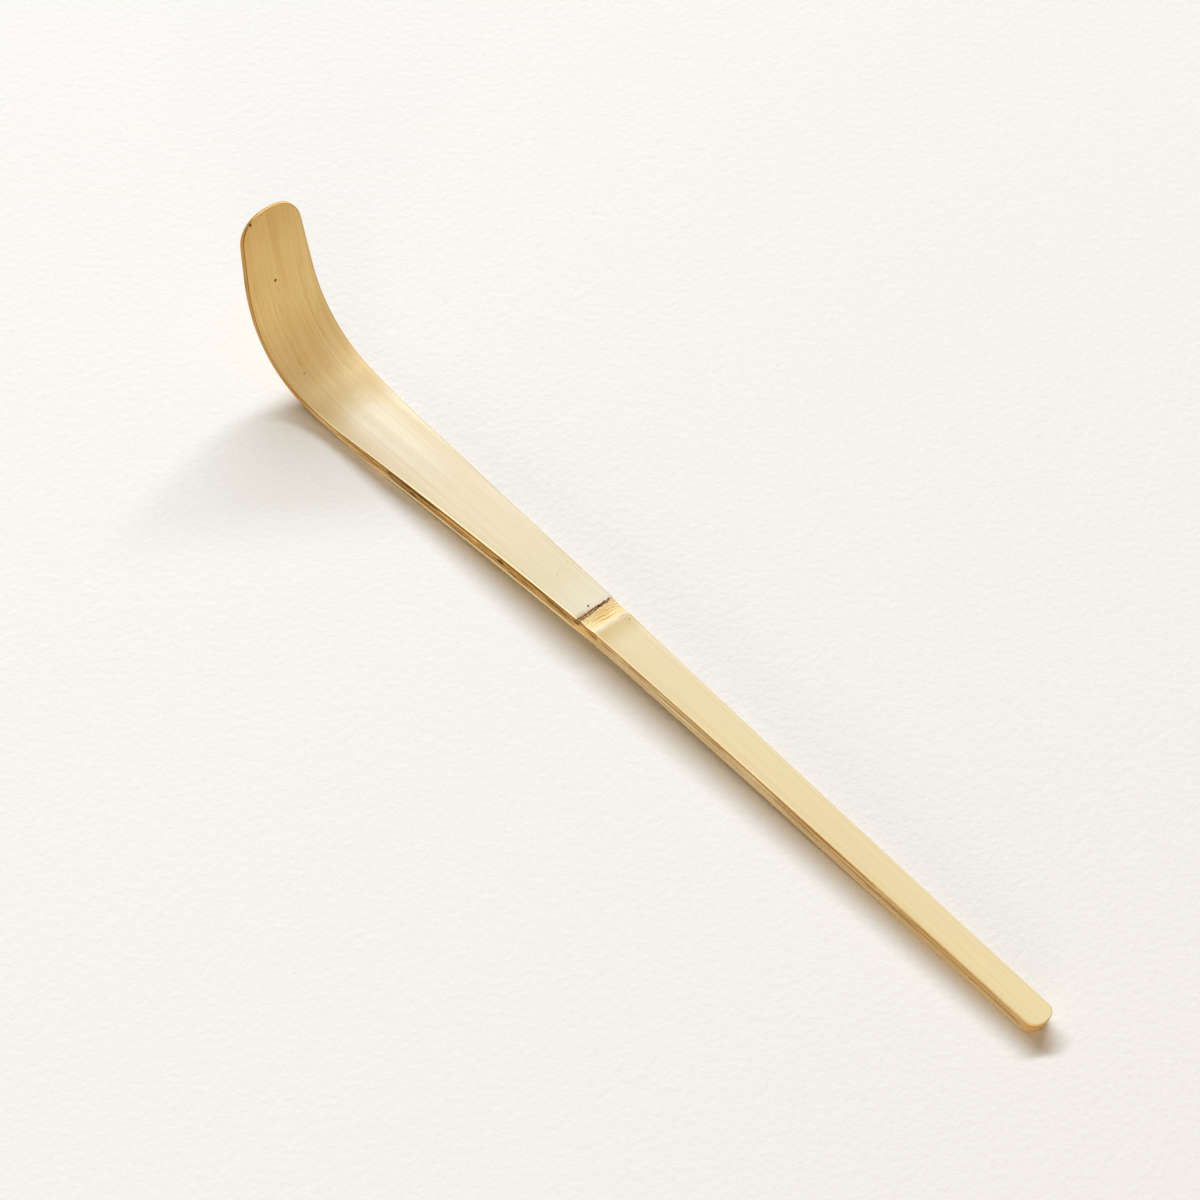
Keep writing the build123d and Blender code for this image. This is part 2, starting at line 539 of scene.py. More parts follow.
    def stations(self, start: float, end: float, pitch: float) -> Stations:
        """Places for the rings of a blank, close together round the two ends of the slip.

        Args:
            start: where the blank begins; 0 is the butt.
            end: where it ends; the slip's length is the tip.
            pitch: spacing of the places between the ends.

        Returns:
            The places, with the half width and the outline's outward direction at each.
        """
        turns = np.linspace(0, math.pi / 2, self.end_steps)
        pieces, shares = [], []
        first, last = start, end
        if start <= 0:
            first = self.butt_round
            pieces.append(self.butt_round * (1 - np.cos(turns) ** (2 / self.butt_fullness)))
            shares.append(np.sin(turns) ** (2 / self.butt_fullness))
        if end >= self.length:
            last = self.length - self.tip_round
        count = max(2, round((last - first) / pitch) + 1)
        straight = np.linspace(first, last, count)
        straight = straight[1:] if start <= 0 else straight
        pieces.append(straight)
        shares.append(np.ones(len(straight)))
        if end >= self.length:
            back = turns[::-1][1:]
            pieces.append(self.length - self.tip_round * (1 - np.cos(back) ** (2 / self.tip_fullness)))
            shares.append(np.sin(back) ** (2 / self.tip_fullness))
        along = np.concatenate(pieces)
        half = np.interp(along, self.along, self.half) * np.concatenate(shares)
        slope_along, slope_half = np.gradient(along), np.gradient(half)
        size = np.hypot(slope_along, slope_half)
        out_along, out_across = -slope_half / size, slope_along / size
        if start <= 0:
            half[0], out_along[0], out_across[0] = 0, -1, 0
        if end >= self.length:
            half[-1], out_along[-1], out_across[-1] = 0, 1, 0
        return Stations(along, half, out_along, out_across)


class NodeSheet:
    """Adds and links the nodes of one tree."""

    def __init__(self, tree: Tree) -> None:
        """Starts with an empty tree."""
        self.tree = tree
        tree.nodes.clear()

    def feed(self, socket: Socket, value: object) -> None:
        """Links a socket to an input, or sets the input's value.

        Args:
            socket: the input.
            value: a socket to link, or a plain value.
        """
        if isinstance(value, Socket):
            self.tree.links.new(value, socket)
        else:
            socket.default_value = value

    def add(self, kind: str, feeds: dict | None = None, **settings: object) -> bpy.types.Node:
        """Adds a node.

        Args:
            kind: type name of the node.
            feeds: values or sockets for its inputs, by name or number.
            settings: the node's own options.

        Returns:
            The node.
        """
        node = self.tree.nodes.new(kind)
        for option, value in settings.items():
            setattr(node, option, value)
        for key, value in (feeds or {}).items():
            self.feed(node.inputs[key], value)
        return node

    def calc(self, operation: str, *values: Feed) -> Socket:
        """Result of a sum on numbers."""
        return self.add("ShaderNodeMath", dict(enumerate(values)), operation=operation).outputs[0]

    def vec(self, operation: str, *values: Feed) -> Socket:
        """Result of a sum on vectors."""
        return self.add("ShaderNodeVectorMath", dict(enumerate(values)), operation=operation).outputs[0]

    def scaled(self, vector: Feed, scale: Feed) -> Socket:
        """A vector or colour times a number."""
        feeds = {"Vector": vector, "Scale": scale}
        return self.add("ShaderNodeVectorMath", feeds, operation="SCALE").outputs[0]

    def noise(self, vector: Feed, detail: float = 2.0, roughness: float = 0.5) -> Socket:
        """Soft noise from 0 to 1 at a vector."""
        feeds = {"Vector": vector, "Scale": 1.0, "Detail": detail, "Roughness": roughness}
        return self.add("ShaderNodeTexNoise", feeds).outputs[0]

    def eased(self, value: Feed, ease: Ease) -> Socket:
        """Result of a smooth change at a value."""
        feeds = {0: value, 1: ease.start, 2: ease.end, 3: ease.before, 4: ease.after}
        return self.add("ShaderNodeMapRange", feeds, interpolation_type="SMOOTHSTEP").outputs[0]

    def blend(self, share: Feed, first: Feed, second: Feed) -> Socket:
        """Mix of two colours."""
        return self.add("ShaderNodeMix", {0: share, 6: first, 7: second}, data_type="RGBA").outputs[2]

    def stops(self, value: Feed, places: tuple[float, ...], shades: tuple[Colour, ...]) -> Socket:
        """Colour from a ramp.

        Args:
            value: where to read the ramp, from 0 to 1.
            places: places of its stops.
            shades: colour of each stop.

        Returns:
            The colour.
        """
        node = self.add("ShaderNodeValToRGB", {0: value})
        ramp = node.color_ramp
        ramp.interpolation = "EASE"
        for number, (place, shade) in enumerate(zip(places, shades)):
            if number >= len(ramp.elements):
                ramp.elements.new(place)
            ramp.elements[number].position = place
            ramp.elements[number].color = shade
        return node.outputs[0]


class ShapeSheet(NodeSheet):
    """Geometry tree with named inputs."""

    cast_start = 0.02
    cast_reach = 0.05

    def __init__(self, name: str, **sockets: str) -> None:
        """Makes the tree with one geometry going in and one coming out.

        Args:
            name: name of the tree.
            sockets: kind of each further input, by its name with underscores for spaces.
        """
        tree = bpy.data.node_groups.new(name, "GeometryNodeTree")
        tree.interface.new_socket("Geometry", in_out="OUTPUT", socket_type="NodeSocketGeometry")
        kinds = {"Geometry": "Geometry", "Side Line": "Object"}
        kinds.update({label.replace("_", " "): kind for label, kind in sockets.items()})
        for label, kind in kinds.items():
            tree.interface.new_socket(label, in_out="INPUT", socket_type="NodeSocket" + kind)
        super().__init__(tree)
        entry = self.add("NodeGroupInput")
        self.ports = {label: entry.outputs[label] for label in kinds}

    def spot(self) -> Socket:
        """Place of each point."""
        return self.add("GeometryNodeInputPosition").outputs[0]

    def hump(self, turns: float) -> Socket:
        """Sine along a curve, over the given number of half turns."""
        way = self.add("GeometryNodeSplineParameter").outputs["Factor"]
        return self.calc("SINE", self.calc("MULTIPLY", way, turns * math.pi))

    def kept(self, name: str, kind: str) -> Socket:
        """Value that the geometry keeps on its points under a name."""
        return self.add("GeometryNodeInputNamedAttribute", {"Name": name}, data_type=kind).outputs[0]

    def any_vector(self, low: Feed, high: Feed) -> Socket:
        """Random vector for each point, from the tree's seed."""
        feeds = {0: low, 1: high, 8: self.ports["Seed"]}
        return self.add("FunctionNodeRandomValue", feeds, data_type="FLOAT_VECTOR").outputs[0]

    def any_number(self, low: Feed, high: Feed) -> Socket:
        """Random number for each point, from the tree's seed."""
        feeds = {2: low, 3: high, 8: self.ports["Seed"]}
        return self.add("FunctionNodeRandomValue", feeds, data_type="FLOAT").outputs[1]

    def line(self, start: Feed, end: Feed) -> Socket:
        """Straight curve between two places."""
        return self.add("GeometryNodeCurvePrimitiveLine", {"Start": start, "End": end}).outputs[0]

    def shifted(self, geometry: Socket, offset: Socket) -> Socket:
        """Geometry moved by an offset."""
        return self.add("GeometryNodeSetPosition", {"Geometry": geometry, "Offset": offset}).outputs[0]

    def placed(self, geometry: Socket, place: Socket) -> Socket:
        """Geometry moved to a place."""
        return self.add("GeometryNodeSetPosition", {"Geometry": geometry, "Position": place}).outputs[0]

    def copies(self, points: Socket, shape: Socket, scale: Socket) -> Socket:
        """Copies of a shape on points, as real geometry."""
        copies = self.add("GeometryNodeInstanceOnPoints", {0: points, "Instance": shape, "Scale": scale})
        return self.add("GeometryNodeRealizeInstances", {0: copies.outputs[0]}).outputs[0]

    def landed(self, geometry: Socket, cast: Feed) -> Socket:
        """Drops geometry onto the flat blank, to the depth of its sink; what misses the blank is removed.

        Args:
            geometry: the geometry.
            cast: direction of the drop.

        Returns:
            The geometry on the blank.
        """
        above = self.vec("SUBTRACT", self.spot(), self.scaled(cast, self.cast_start))
        ray = self.add("GeometryNodeRaycast", {
            "Target Geometry": self.ports["Geometry"],
            "Source Position": above,
            "Ray Direction": cast,
            "Ray Length": self.cast_reach,
        }).outputs
        rest = self.vec("ADD", ray["Hit Position"], self.scaled(cast, self.ports["Sink"]))
        missed = self.add("FunctionNodeBooleanMath", {0: ray["Is Hit"]}, operation="NOT").outputs[0]
        hit = self.add("GeometryNodeDeleteGeometry", {0: geometry, 1: missed}).outputs[0]
        return self.placed(hit, rest)

    def marked(self, geometry: Socket) -> Socket:
        """Lets geometry remember its place on the flat blank, and that it is off the outline.

        Args:
            geometry: the geometry, before it is bent.

        Returns:
            The geometry with its marks.
        """
        place = self.vec("MULTIPLY", self.spot(), (1 / MM, 1 / MM, -1 / MM))
        for label, kind, value in (("slip", "FLOAT_VECTOR", place), ("edge", "FLOAT", 1.0)):
            feeds = {0: geometry, "Name": label, "Value": value}
            geometry = self.add("GeometryNodeStoreNamedAttribute", feeds, data_type=kind).outputs[0]
        return geometry

    def bent(self, geometry: Socket, bend: Tree) -> Socket:
        """Geometry after the bend."""
        feeds = {0: geometry, 1: self.ports["Side Line"]}
        return self.add("GeometryNodeGroup", feeds, node_tree=bend).outputs[0]

    def close(self, geometry: Socket) -> Tree:
        """Ends the tree in plain geometry with its material.

        Args:
            geometry: what the tree has made.

        Returns:
            The tree.
        """
        real = self.add("GeometryNodeRealizeInstances", {0: geometry}).outputs[0]
        smooth = self.add("GeometryNodeSetShadeSmooth", {0: real}).outputs[0]
        painted = self.add("GeometryNodeSetMaterial", {0: smooth, "Material": self.ports["Finish"]})
        self.add("NodeGroupOutput", {0: painted.outputs[0]})
        return self.tree


@dataclass
class TreeMaker:
    """Geometry trees that bend blanks along the side line and lay fibres and grains on them."""

    cut_noise: tuple[float, float] = (3.0, 0.6)
    cut_ease: Ease = Ease(0.35, 0.7, -0.25, -1.0)
    strand_points: int = 15
    strand_corners: int = 6
    strand_end: float = 0.05
    grain_growth: Run = (0.55, 1.2)

    def __post_init__(self) -> None:
        """Makes the trees."""
        self.bend = self._bend_group()
        self.layer = self._layer_tree()
        self.strands = self._strand_tree()
        self.grains = self._grain_tree()

    @staticmethod
    def _bend_group() -> Tree:
        """Makes the group that carries flat geometry onto the bent side line.

        Returns:
            The group.
        """
        sheet = ShapeSheet("bend_along_line")
        feeds = {"Object": sheet.ports["Side Line"]}
        line = sheet.add("GeometryNodeObjectInfo", feeds).outputs["Geometry"]
        along, across, height = sheet.add("ShaderNodeSeparateXYZ", {0: sheet.spot()}).outputs
        feeds = {"Curves": line, "Length": along}
        sample = sheet.add("GeometryNodeSampleCurve", feeds, mode="LENGTH").outputs
        normal = sheet.vec("CROSS_PRODUCT", (0, 1, 0), sample["Tangent"])
        sideways = sheet.add("ShaderNodeCombineXYZ", {1: across}).outputs[0]
        raised = sheet.vec("ADD", sample["Position"], sheet.scaled(normal, height))
        moved = sheet.placed(sheet.ports["Geometry"], sheet.vec("ADD", raised, sideways))
        sheet.add("NodeGroupOutput", {0: moved})
        return sheet.tree

    def _layer_tree(self) -> Tree:
        """Makes the tree that roughens the cut sides of a flat blank and bends it.

        Returns:
            The tree.
        """
        sheet = ShapeSheet(
            "layer_from_blank", Relief="Float", Grain="Vector", Seed="Vector", Finish="Material",
        )
        ports = sheet.ports
        slip, side = sheet.kept("slip", "FLOAT_VECTOR"), sheet.kept("side", "FLOAT")
        spot = sheet.vec("ADD", sheet.vec("MULTIPLY", slip, ports["Grain"]), ports["Seed"])
        cut = sheet.eased(sheet.noise(spot, *self.cut_noise), self.cut_ease)
        amount = sheet.calc("MULTIPLY", sheet.calc("MULTIPLY", cut, side), ports["Relief"])
        offset = sheet.add("ShaderNodeCombineXYZ", {1: amount}).outputs[0]
        return sheet.close(sheet.bent(sheet.shifted(ports["Geometry"], offset), self.bend))

    def _strand_tree(self) -> Tree:
        """Makes the tree that lays fine fibres on a flat blank and bends them with it.

        Returns:
            The tree.
        """
        sheet = ShapeSheet(
            "fibre_strands", Count="Int", Low="Vector", High="Vector", Run="Vector", Shortest="Float",
            Longest="Float", Wave="Vector", Wave_Pitch="Float", Cast="Vector", Sink="Float",
            Thickness="Float", Seed="Int", Finish="Material",
        )
        ports = sheet.ports
        feeds = {"Count": ports["Count"], "Position": sheet.any_vector(ports["Low"], ports["High"])}
        points = sheet.add("GeometryNodePoints", feeds).outputs[0]
        line = sheet.line(sheet.scaled(ports["Run"], -0.5), sheet.scaled(ports["Run"], 0.5))
        feeds = {0: line, "Count": self.strand_points}
        fine = sheet.add("GeometryNodeResampleCurve", feeds).outputs[0]
        strands = sheet.copies(points, fine, sheet.any_number(ports["Shortest"], ports["Longest"]))
        spot = sheet.scaled(sheet.spot(), ports["Wave Pitch"])
        sway = sheet.calc("SUBTRACT", sheet.noise(spot, 1.0), 0.5)
        waved = sheet.shifted(strands, sheet.scaled(ports["Wave"], sway))
        landed = sheet.landed(waved, ports["Cast"])
        bent = sheet.bent(sheet.marked(landed), self.bend)
        bulge = sheet.calc("ADD", sheet.calc("SQRT", sheet.hump(1)), self.strand_end)
        width = sheet.calc("MULTIPLY", bulge, ports["Thickness"])
        feeds = {"Resolution": self.strand_corners, "Radius": 0.5}
        ring = sheet.add("GeometryNodeCurvePrimitiveCircle", feeds).outputs[0]
        feeds = {0: bent, 1: ring, "Scale": width, "Fill Caps": True}
        return sheet.close(sheet.add("GeometryNodeCurveToMesh", feeds).outputs[0])

    def _grain_tree(self) -> Tree:
        """Makes the tree that sets a row of small grains across a flat blank and bends them with it.

        Returns:
            The tree.
        """
        sheet = ShapeSheet(
            "grain_row", Start="Vector", End="Vector", Bow="Vector", Sway="Vector", Pitch="Float",
            Jitter="Vector", Size="Vector", Sink="Float", Seed="Int", Finish="Material",
        )
        ports = sheet.ports
        feeds = {0: sheet.line(ports["Start"], ports["End"]), "Length": ports["Pitch"]}
        row = sheet.add("GeometryNodeResampleCurve", feeds, mode="LENGTH").outputs[0]
        bow = sheet.scaled(ports["Bow"], sheet.hump(1))
        sway = sheet.scaled(ports["Sway"], sheet.hump(2))
        chance = sheet.any_vector((-0.5, -0.5, -0.5), (0.5, 0.5, 0.5))
        shake = sheet.vec("MULTIPLY", chance, ports["Jitter"])
        spread = sheet.shifted(row, sheet.vec("ADD", sheet.vec("ADD", bow, sway), shake))
        landed = sheet.landed(spread, (0, 0, -1))
        grain = sheet.add("GeometryNodeMeshIcoSphere", {"Radius": 0.5, "Subdivisions": 2}).outputs[0]
        size = sheet.scaled(ports["Size"], sheet.any_number(*self.grain_growth))
        grains = sheet.copies(landed, grain, size)
        return sheet.close(sheet.bent(sheet.marked(grains), self.bend))


class Workshop:
    """Cuts flat blanks, runs the trees on them and hands over finished pieces."""

    line_stride = 4
    crease = math.radians(38)
    thinnest = 1e-6
    weld_reach = 2e-7
    sliver_reach = 1e-7

    def __init__(self, slip: Slip) -> None:
        """Draws the side line that every tree bends along.

        Args:
            slip: sizes of the slip.
        """
        self.slip = slip
        self.trees = TreeMaker()
        curve = bpy.data.curves.new("side_line", "CURVE")
        curve.dimensions = "3D"
        spline = curve.splines.new("POLY")
        face_x, face_z = slip.face_x[::self.line_stride] + slip.shift, slip.face_z[::self.line_stride]
        points = np.stack([face_x, 0 * face_x, face_z, np.full_like(face_x, 1 / MM)], axis=1) * MM
        spline.points.add(len(points) - 1)
        spline.points.foreach_set("co", points.ravel())
        self.line = bpy.data.objects.new("side_line", curve)
        bpy.context.scene.collection.objects.link(self.line)

    @staticmethod
    def _ring(columns: int, rows: int) -> tuple[np.ndarray, np.ndarray]:
        """Places the points of one ring round a blank.

        Args:
            columns: faces across the top and the bottom.
            rows: faces down each side, closer together at its two ends.

        Returns:
            For each point its place across, from -1 to 1, and its place down, from 0 to 1.
        """
        across = np.linspace(-1, 1, columns + 1)
        down = 0.5 - 0.5 * np.cos(np.linspace(0, math.pi, rows + 1))
        inner = np.ones(rows - 1)
        share = np.concatenate([across, inner, across[::-1], -inner])
        deep = np.concatenate([0 * across, down[1:-1], 0 * across + 1, down[-2:0:-1]])
        return share, deep

    def blank(self, stations: Stations, job: LayerJob) -> Piece:
        """Flat closed blank of one layer of the slip.

        Args:
            stations: places of its rings.
            job: the layer's depths and how finely it is cut.

        Returns:
            The blank, with its place on the slip kept on its points.
        """
        slip = self.slip
        top, bottom = job.top[:, None], job.bottom[:, None]
        share, deep = self._ring(job.columns, job.rows)
        thick = slip.thickness(stations.along)[:, None]
        surface = slip.surface(stations.along)[:, None]
        depth = top + (bottom - top) * deep
        down = np.clip(depth / thick, 0, 1)
        inset = slip.inset(depth - surface, thick - surface)
        near_butt = (slip.lean_run - stations.along) / (slip.lean_run - slip.butt_round)
        lean = slip.butt_lean * np.clip(near_butt, 0, 1)[:, None] * down ** slip.lean_power
        along = stations.along[:, None] - inset * stations.out_along[:, None] + lean
        notch = np.interp(stations.along, slip.along, slip.notch)[:, None]
        half = stations.half[:, None] + notch * np.where(share > 0, 1.0, down ** slip.notch_power)
        across = share * np.clip(half - inset * stations.out_across[:, None], 0, None)
        crown = across ** 2 / (2 * slip.crown_radius) * (1 - depth / thick)
        rough = slip.rough(depth - surface, thick - depth - job.lip, stations.half[:, None])
        side = np.trunc(share) * rough
        marks = np.stack([along, across, depth], axis=2)
        for cleft in job.clefts:
            across = across + cleft.hollow * cleft.reach_at(along, depth) * (side < 0)
        points = np.stack([along, across, -(depth + crown)], axis=2)
        fields = {
            "side": side,
            "edge": half - np.abs(marks[:, :, 1]),
            "seam": np.clip(1 - (bottom - depth) / slip.seam_reach, 0, 1),
        }
        capped = (stations.half > 0) & (job.bottom - job.top > self.thinnest)
        return self._mesh(job.node + "_layer", points, marks, fields, capped)

    def _mesh(self, name: str, points: np.ndarray, marks: np.ndarray, fields: dict[str, np.ndarray],
              capped: np.ndarray) -> Piece:
        """Closed mesh from rings of points.

        Args:
            name: name of the piece.
            points: place of each point of each ring.
            marks: along, across and depth of each point.
            fields: numbers kept on each point: its share of the side's relief, its distance from the
                outline and its nearness to the seam under the layer.
            capped: which rings have any area to close with a face.

        Returns:
            The object that holds the mesh.
        """
        count, ring = points.shape[:2]
        first = np.arange(count - 1)[:, None] * ring + np.arange(ring)
        second = np.arange(count - 1)[:, None] * ring + (np.arange(ring) + 1) % ring
        quads = np.stack([first, second, second + ring, first + ring], axis=2).reshape(-1, 4).tolist()
        for number in (0, count - 1):
            if capped[number]:
                quads.append(list(range(number * ring, (number + 1) * ring)))
        mesh = bpy.data.meshes.new(name)
        mesh.from_pydata((points * MM).reshape(-1, 3).tolist(), [], quads)
        marked = mesh.attributes.new("slip", "FLOAT_VECTOR", "POINT")
        marked.data.foreach_set("vector", marks.astype(np.float32).ravel())
        for label, values in fields.items():
            layer = mesh.attributes.new(label, "FLOAT", "POINT")
            layer.data.foreach_set("value", values.astype(np.float32).ravel())
        work = bmesh.new()
        work.from_mesh(mesh)
        bmesh.ops.remove_doubles(work, verts=work.verts, dist=self.weld_reach)
        bmesh.ops.dissolve_degenerate(work, edges=work.edges, dist=self.sliver_reach)
        bmesh.ops.recalc_face_normals(work, faces=work.faces)
        work.to_mesh(mesh)
        work.free()
        piece = bpy.data.objects.new(name, mesh)
        bpy.context.scene.collection.objects.link(piece)
        return piece

    def run(self, piece: Piece, tree: Tree, values: dict[str, object]) -> Piece:
        """Runs a tree on a piece and keeps the result as a plain mesh.

        Args:
            piece: the object that the tree works on.
            tree: the tree.
            values: values of its inputs, by name.

        Returns:
            The same object with its finished mesh.
        """
        modifier = piece.modifiers.new(tree.name, "NODES")
        modifier.node_group = tree
        inputs = {item.name: item.identifier for item in tree.interface.items_tree if item.in_out == "INPUT"}
        for label, value in {"Side Line": self.line, **values}.items():
            modifier[inputs[label]] = value
        graph = bpy.context.evaluated_depsgraph_get()
        flat = piece.data
        mesh = bpy.data.meshes.new_from_object(
            piece.evaluated_get(graph), preserve_all_data_layers=True, depsgraph=graph
        )
        mesh.name = flat.name + "_finished"
        piece.modifiers.clear()
        piece.data = mesh
        mesh.set_sharp_from_angle(angle=self.crease)
        return piece

    def on_blank(self, name: str, blank: bpy.types.Mesh, tree: Tree, values: dict[str, object]) -> Piece:
        """New piece that a tree lays on a copy of a flat blank.

        Args:
            name: name of the piece.
            blank: the flat blank.
            tree: the tree.
            values: values of its inputs, by name.

        Returns:
            The finished piece.
        """
        piece = bpy.data.objects.new(name, blank.copy())
        bpy.context.scene.collection.objects.link(piece)
        return self.run(piece, tree, values)

    def deliver(self, piece: Piece, slot: str, node: str | None = None) -> None:
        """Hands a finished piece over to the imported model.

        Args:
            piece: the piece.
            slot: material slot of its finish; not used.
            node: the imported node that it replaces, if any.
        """
        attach(piece, "root")
        if node:
            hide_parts(node)
        log.info("%s: %d faces", piece.name, len(piece.data.polygons))

    def tidy(self) -> None:
        """Removes the side line once every piece is bent."""
        bpy.data.objects.remove(self.line)


@dataclass(frozen=True)
class EdgeTones:
    """Worn edge of a piece of the node: cream along its near arris, and the darker colour of its cut side."""

    cream: Colour
    cream_reach: Ease
    cut: Colour
    cut_share: float = 1.0
    cut_reach: Run = (0.02, 0.06)
    near_only: bool = False


class FinishSheet(NodeSheet):
    """Shader tree of one finish, with the slip's own coordinates at hand."""

    near_ease = Ease(-0.4, 0.4, 1.0, 0.0)
    noise_roughness = 0.55

    def __init__(self, name: str) -> None:
        """Makes the material and reads what the piece keeps on its points.

        Args:
            name: name of the material.
        """
        self.material = bpy.data.materials.new(name)
        self.material.use_nodes = True
        super().__init__(self.material.node_tree)
        self.slip = self._kept("slip", "Vector")
        self.along, self.across, self.depth = self.add("ShaderNodeSeparateXYZ", {0: self.slip}).outputs
        self.edge = self._kept("edge", "Fac")
        self.seam = self._kept("seam", "Fac")

    def _kept(self, name: str, output: str) -> Socket:
        """Value that the piece keeps on its points under a name."""
        return self.add("ShaderNodeAttribute", attribute_name=name).outputs[output]

    def product(self, first: Feed, *others: Feed) -> Feed:
        """All the given numbers multiplied.

        Args:
            first: the first number.
            others: the other numbers.

        Returns:
            Their product.
        """
        for other in others:
            first = self.calc("MULTIPLY", first, other)
        return first

    def inverse(self, share: Feed) -> Socket:
        """What is left of a share."""
        return self.calc("SUBTRACT", 1.0, share)

    def mean(self, share: float, first: Feed, second: Feed) -> Socket:
        """Mean of two numbers, with the given share of the second."""
        return self.calc("ADD", self.product(first, 1 - share), self.product(second, share))

    def either(self, share: Feed, first: Feed, second: Feed) -> Socket:
        """Number that turns from the first to the second by a share."""
        return self.calc("MULTIPLY_ADD", second, share, self.product(first, self.inverse(share)))

    def off_middle(self, value: Feed, scale: float, base: Feed) -> Socket:
        """Base with a noise's departure from its middle added to it, scaled."""
        return self.calc("MULTIPLY_ADD", self.calc("SUBTRACT", value, 0.5), scale, base)

    def tinted(self, share: Feed, colour: Feed, tint: Triple) -> Socket:
        """Colour that takes a tint by a share."""
        return self.blend(share, colour, self.vec("MULTIPLY", colour, tint))

    def streaked(self, colour: Feed, streaks: Streaks, *shares: Feed) -> Socket:
        """Colour with streaks, where all the shares are."""
        return self.tinted(self.product(self.grain(streaks.grain), *shares), colour, streaks.tint)

    def within(self, value: Feed, stretch: Stretch) -> Socket:
        """1 inside a stretch and 0 outside it."""
        rise, fall = Ease(*stretch.rise), Ease(*stretch.fall, 1.0, 0.0)
        return self.product(self.eased(value, rise), self.eased(value, fall))

    def near(self) -> Socket:
        """1 on the near half of the slip and 0 on the far half."""
        return self.eased(self.across, self.near_ease)

    def away(self, place: Triple, scale: Triple) -> Socket:
        """Distance from a place on the slip, with each axis scaled."""
        offset = self.vec("MULTIPLY", self.vec("SUBTRACT", self.slip, place), scale)
        return self.add("ShaderNodeVectorMath", {0: offset}, operation="LENGTH").outputs["Value"]

    def grain(self, grain: Grain) -> Socket:
        """Noise that follows the slip.

        Args:
            grain: its waves and its contrast.

        Returns:
            The noise, after its contrast if it has one.
        """
        spot = self.vec("MULTIPLY_ADD", self.slip, (grain.along, grain.across, grain.depth), grain.offset)
        noise = self.noise(spot, grain.detail, self.noise_roughness)
        return self.eased(noise, grain.ease) if grain.ease else noise

    def edged(self, colour: Feed, tones: EdgeTones) -> Socket:
        """Wears the edge of a piece of the node.

        Args:
            colour: colour of the piece.
            tones: colours of its edge.

        Returns:
            The colour with its edge.
        """
        near = self.near()
        cream = self.product(self.eased(self.edge, tones.cream_reach), near)
        colour = self.blend(cream, colour, tones.cream)
        cut = self.eased(self.edge, Ease(*tones.cut_reach, tones.cut_share, 0.0))
        cut = self.product(cut, near) if tones.near_only else cut
        return self.blend(cut, colour, tones.cut)

    def close(self, colour: Feed, height: Feed, roughness: Feed, bump: float, shine: Feed) -> Material:
        """Ends the tree in its shader.

        Args:
            colour: base colour.
            height: height of the fine relief, from 0 to 1.
            roughness: roughness of the surface.
            bump: depth of the fine relief in millimetres.
            shine: strength of the reflection, where 0.5 is that of a smooth coat.

        Returns:
            The material.
        """
        bumped = self.add("ShaderNodeBump", {"Height": height, "Strength": 1.0, "Distance": bump * MM})
        shader = self.add("ShaderNodeBsdfPrincipled", {"Base Color": colour, "Normal": bumped.outputs[0]})
        self.feed(shader.inputs["Roughness"], roughness)
        self.feed(shader.inputs["Specular IOR Level"], shine)
        self.add("ShaderNodeOutputMaterial", {0: shader.outputs[0]})
        return self.material


@dataclass(frozen=True)
class Speck:
    """Small dark fleck on the face: its place along and across, its size, its trail and its strength."""

    along: float
    across: float
    size: float
    trail: float = 1.0
    share: float = 0.92
    core: float = 0.6

    def share_on(self, sheet: FinishSheet) -> Socket:
        """Share of the fleck's colour."""
        reach = sheet.away((self.along, self.across, 0.0), (1 / self.trail, 1.0, 0.0))
        return sheet.eased(reach, Ease(self.size * self.core, self.size, self.share, 0.0))


@dataclass(frozen=True)
class SkinLines:
    """Fine straight lines of the fibre bundles that show through the skin."""

    waves: float = 17.5
    swing: float = 9.0
    sway: Grain = Grain(0.012, 0.7, offset=(0.0, 3.0, 0.0))
    width: Ease = Ease(-0.2, 1.0, 0.0, 0.8)
    strength: Grain = Grain(0.03, 1.6, offset=(1.0, 7.0, 0.0), ease=Ease(0.3, 0.65, 0.15, 1.0))
    loose: Grain = Grain(0.008, 4.2, detail=3.0, offset=(2.0, 0.0, 5.0), ease=Ease(0.5, 0.66))

    def share_on(self, sheet: FinishSheet) -> Socket:
        """Draws the lines.

        Args:
            sheet: the finish that they are on.

        Returns:
            Their share, from 0 to 1.
        """
        straight = sheet.calc("MULTIPLY", sheet.across, self.waves)
        phase = sheet.calc("MULTIPLY_ADD", sheet.grain(self.sway), self.swing, straight)
        wave = sheet.eased(sheet.calc("SINE", phase), self.width)
        even = sheet.product(wave, sheet.grain(self.strength))
        return sheet.calc("MAXIMUM", even, sheet.grain(self.loose))


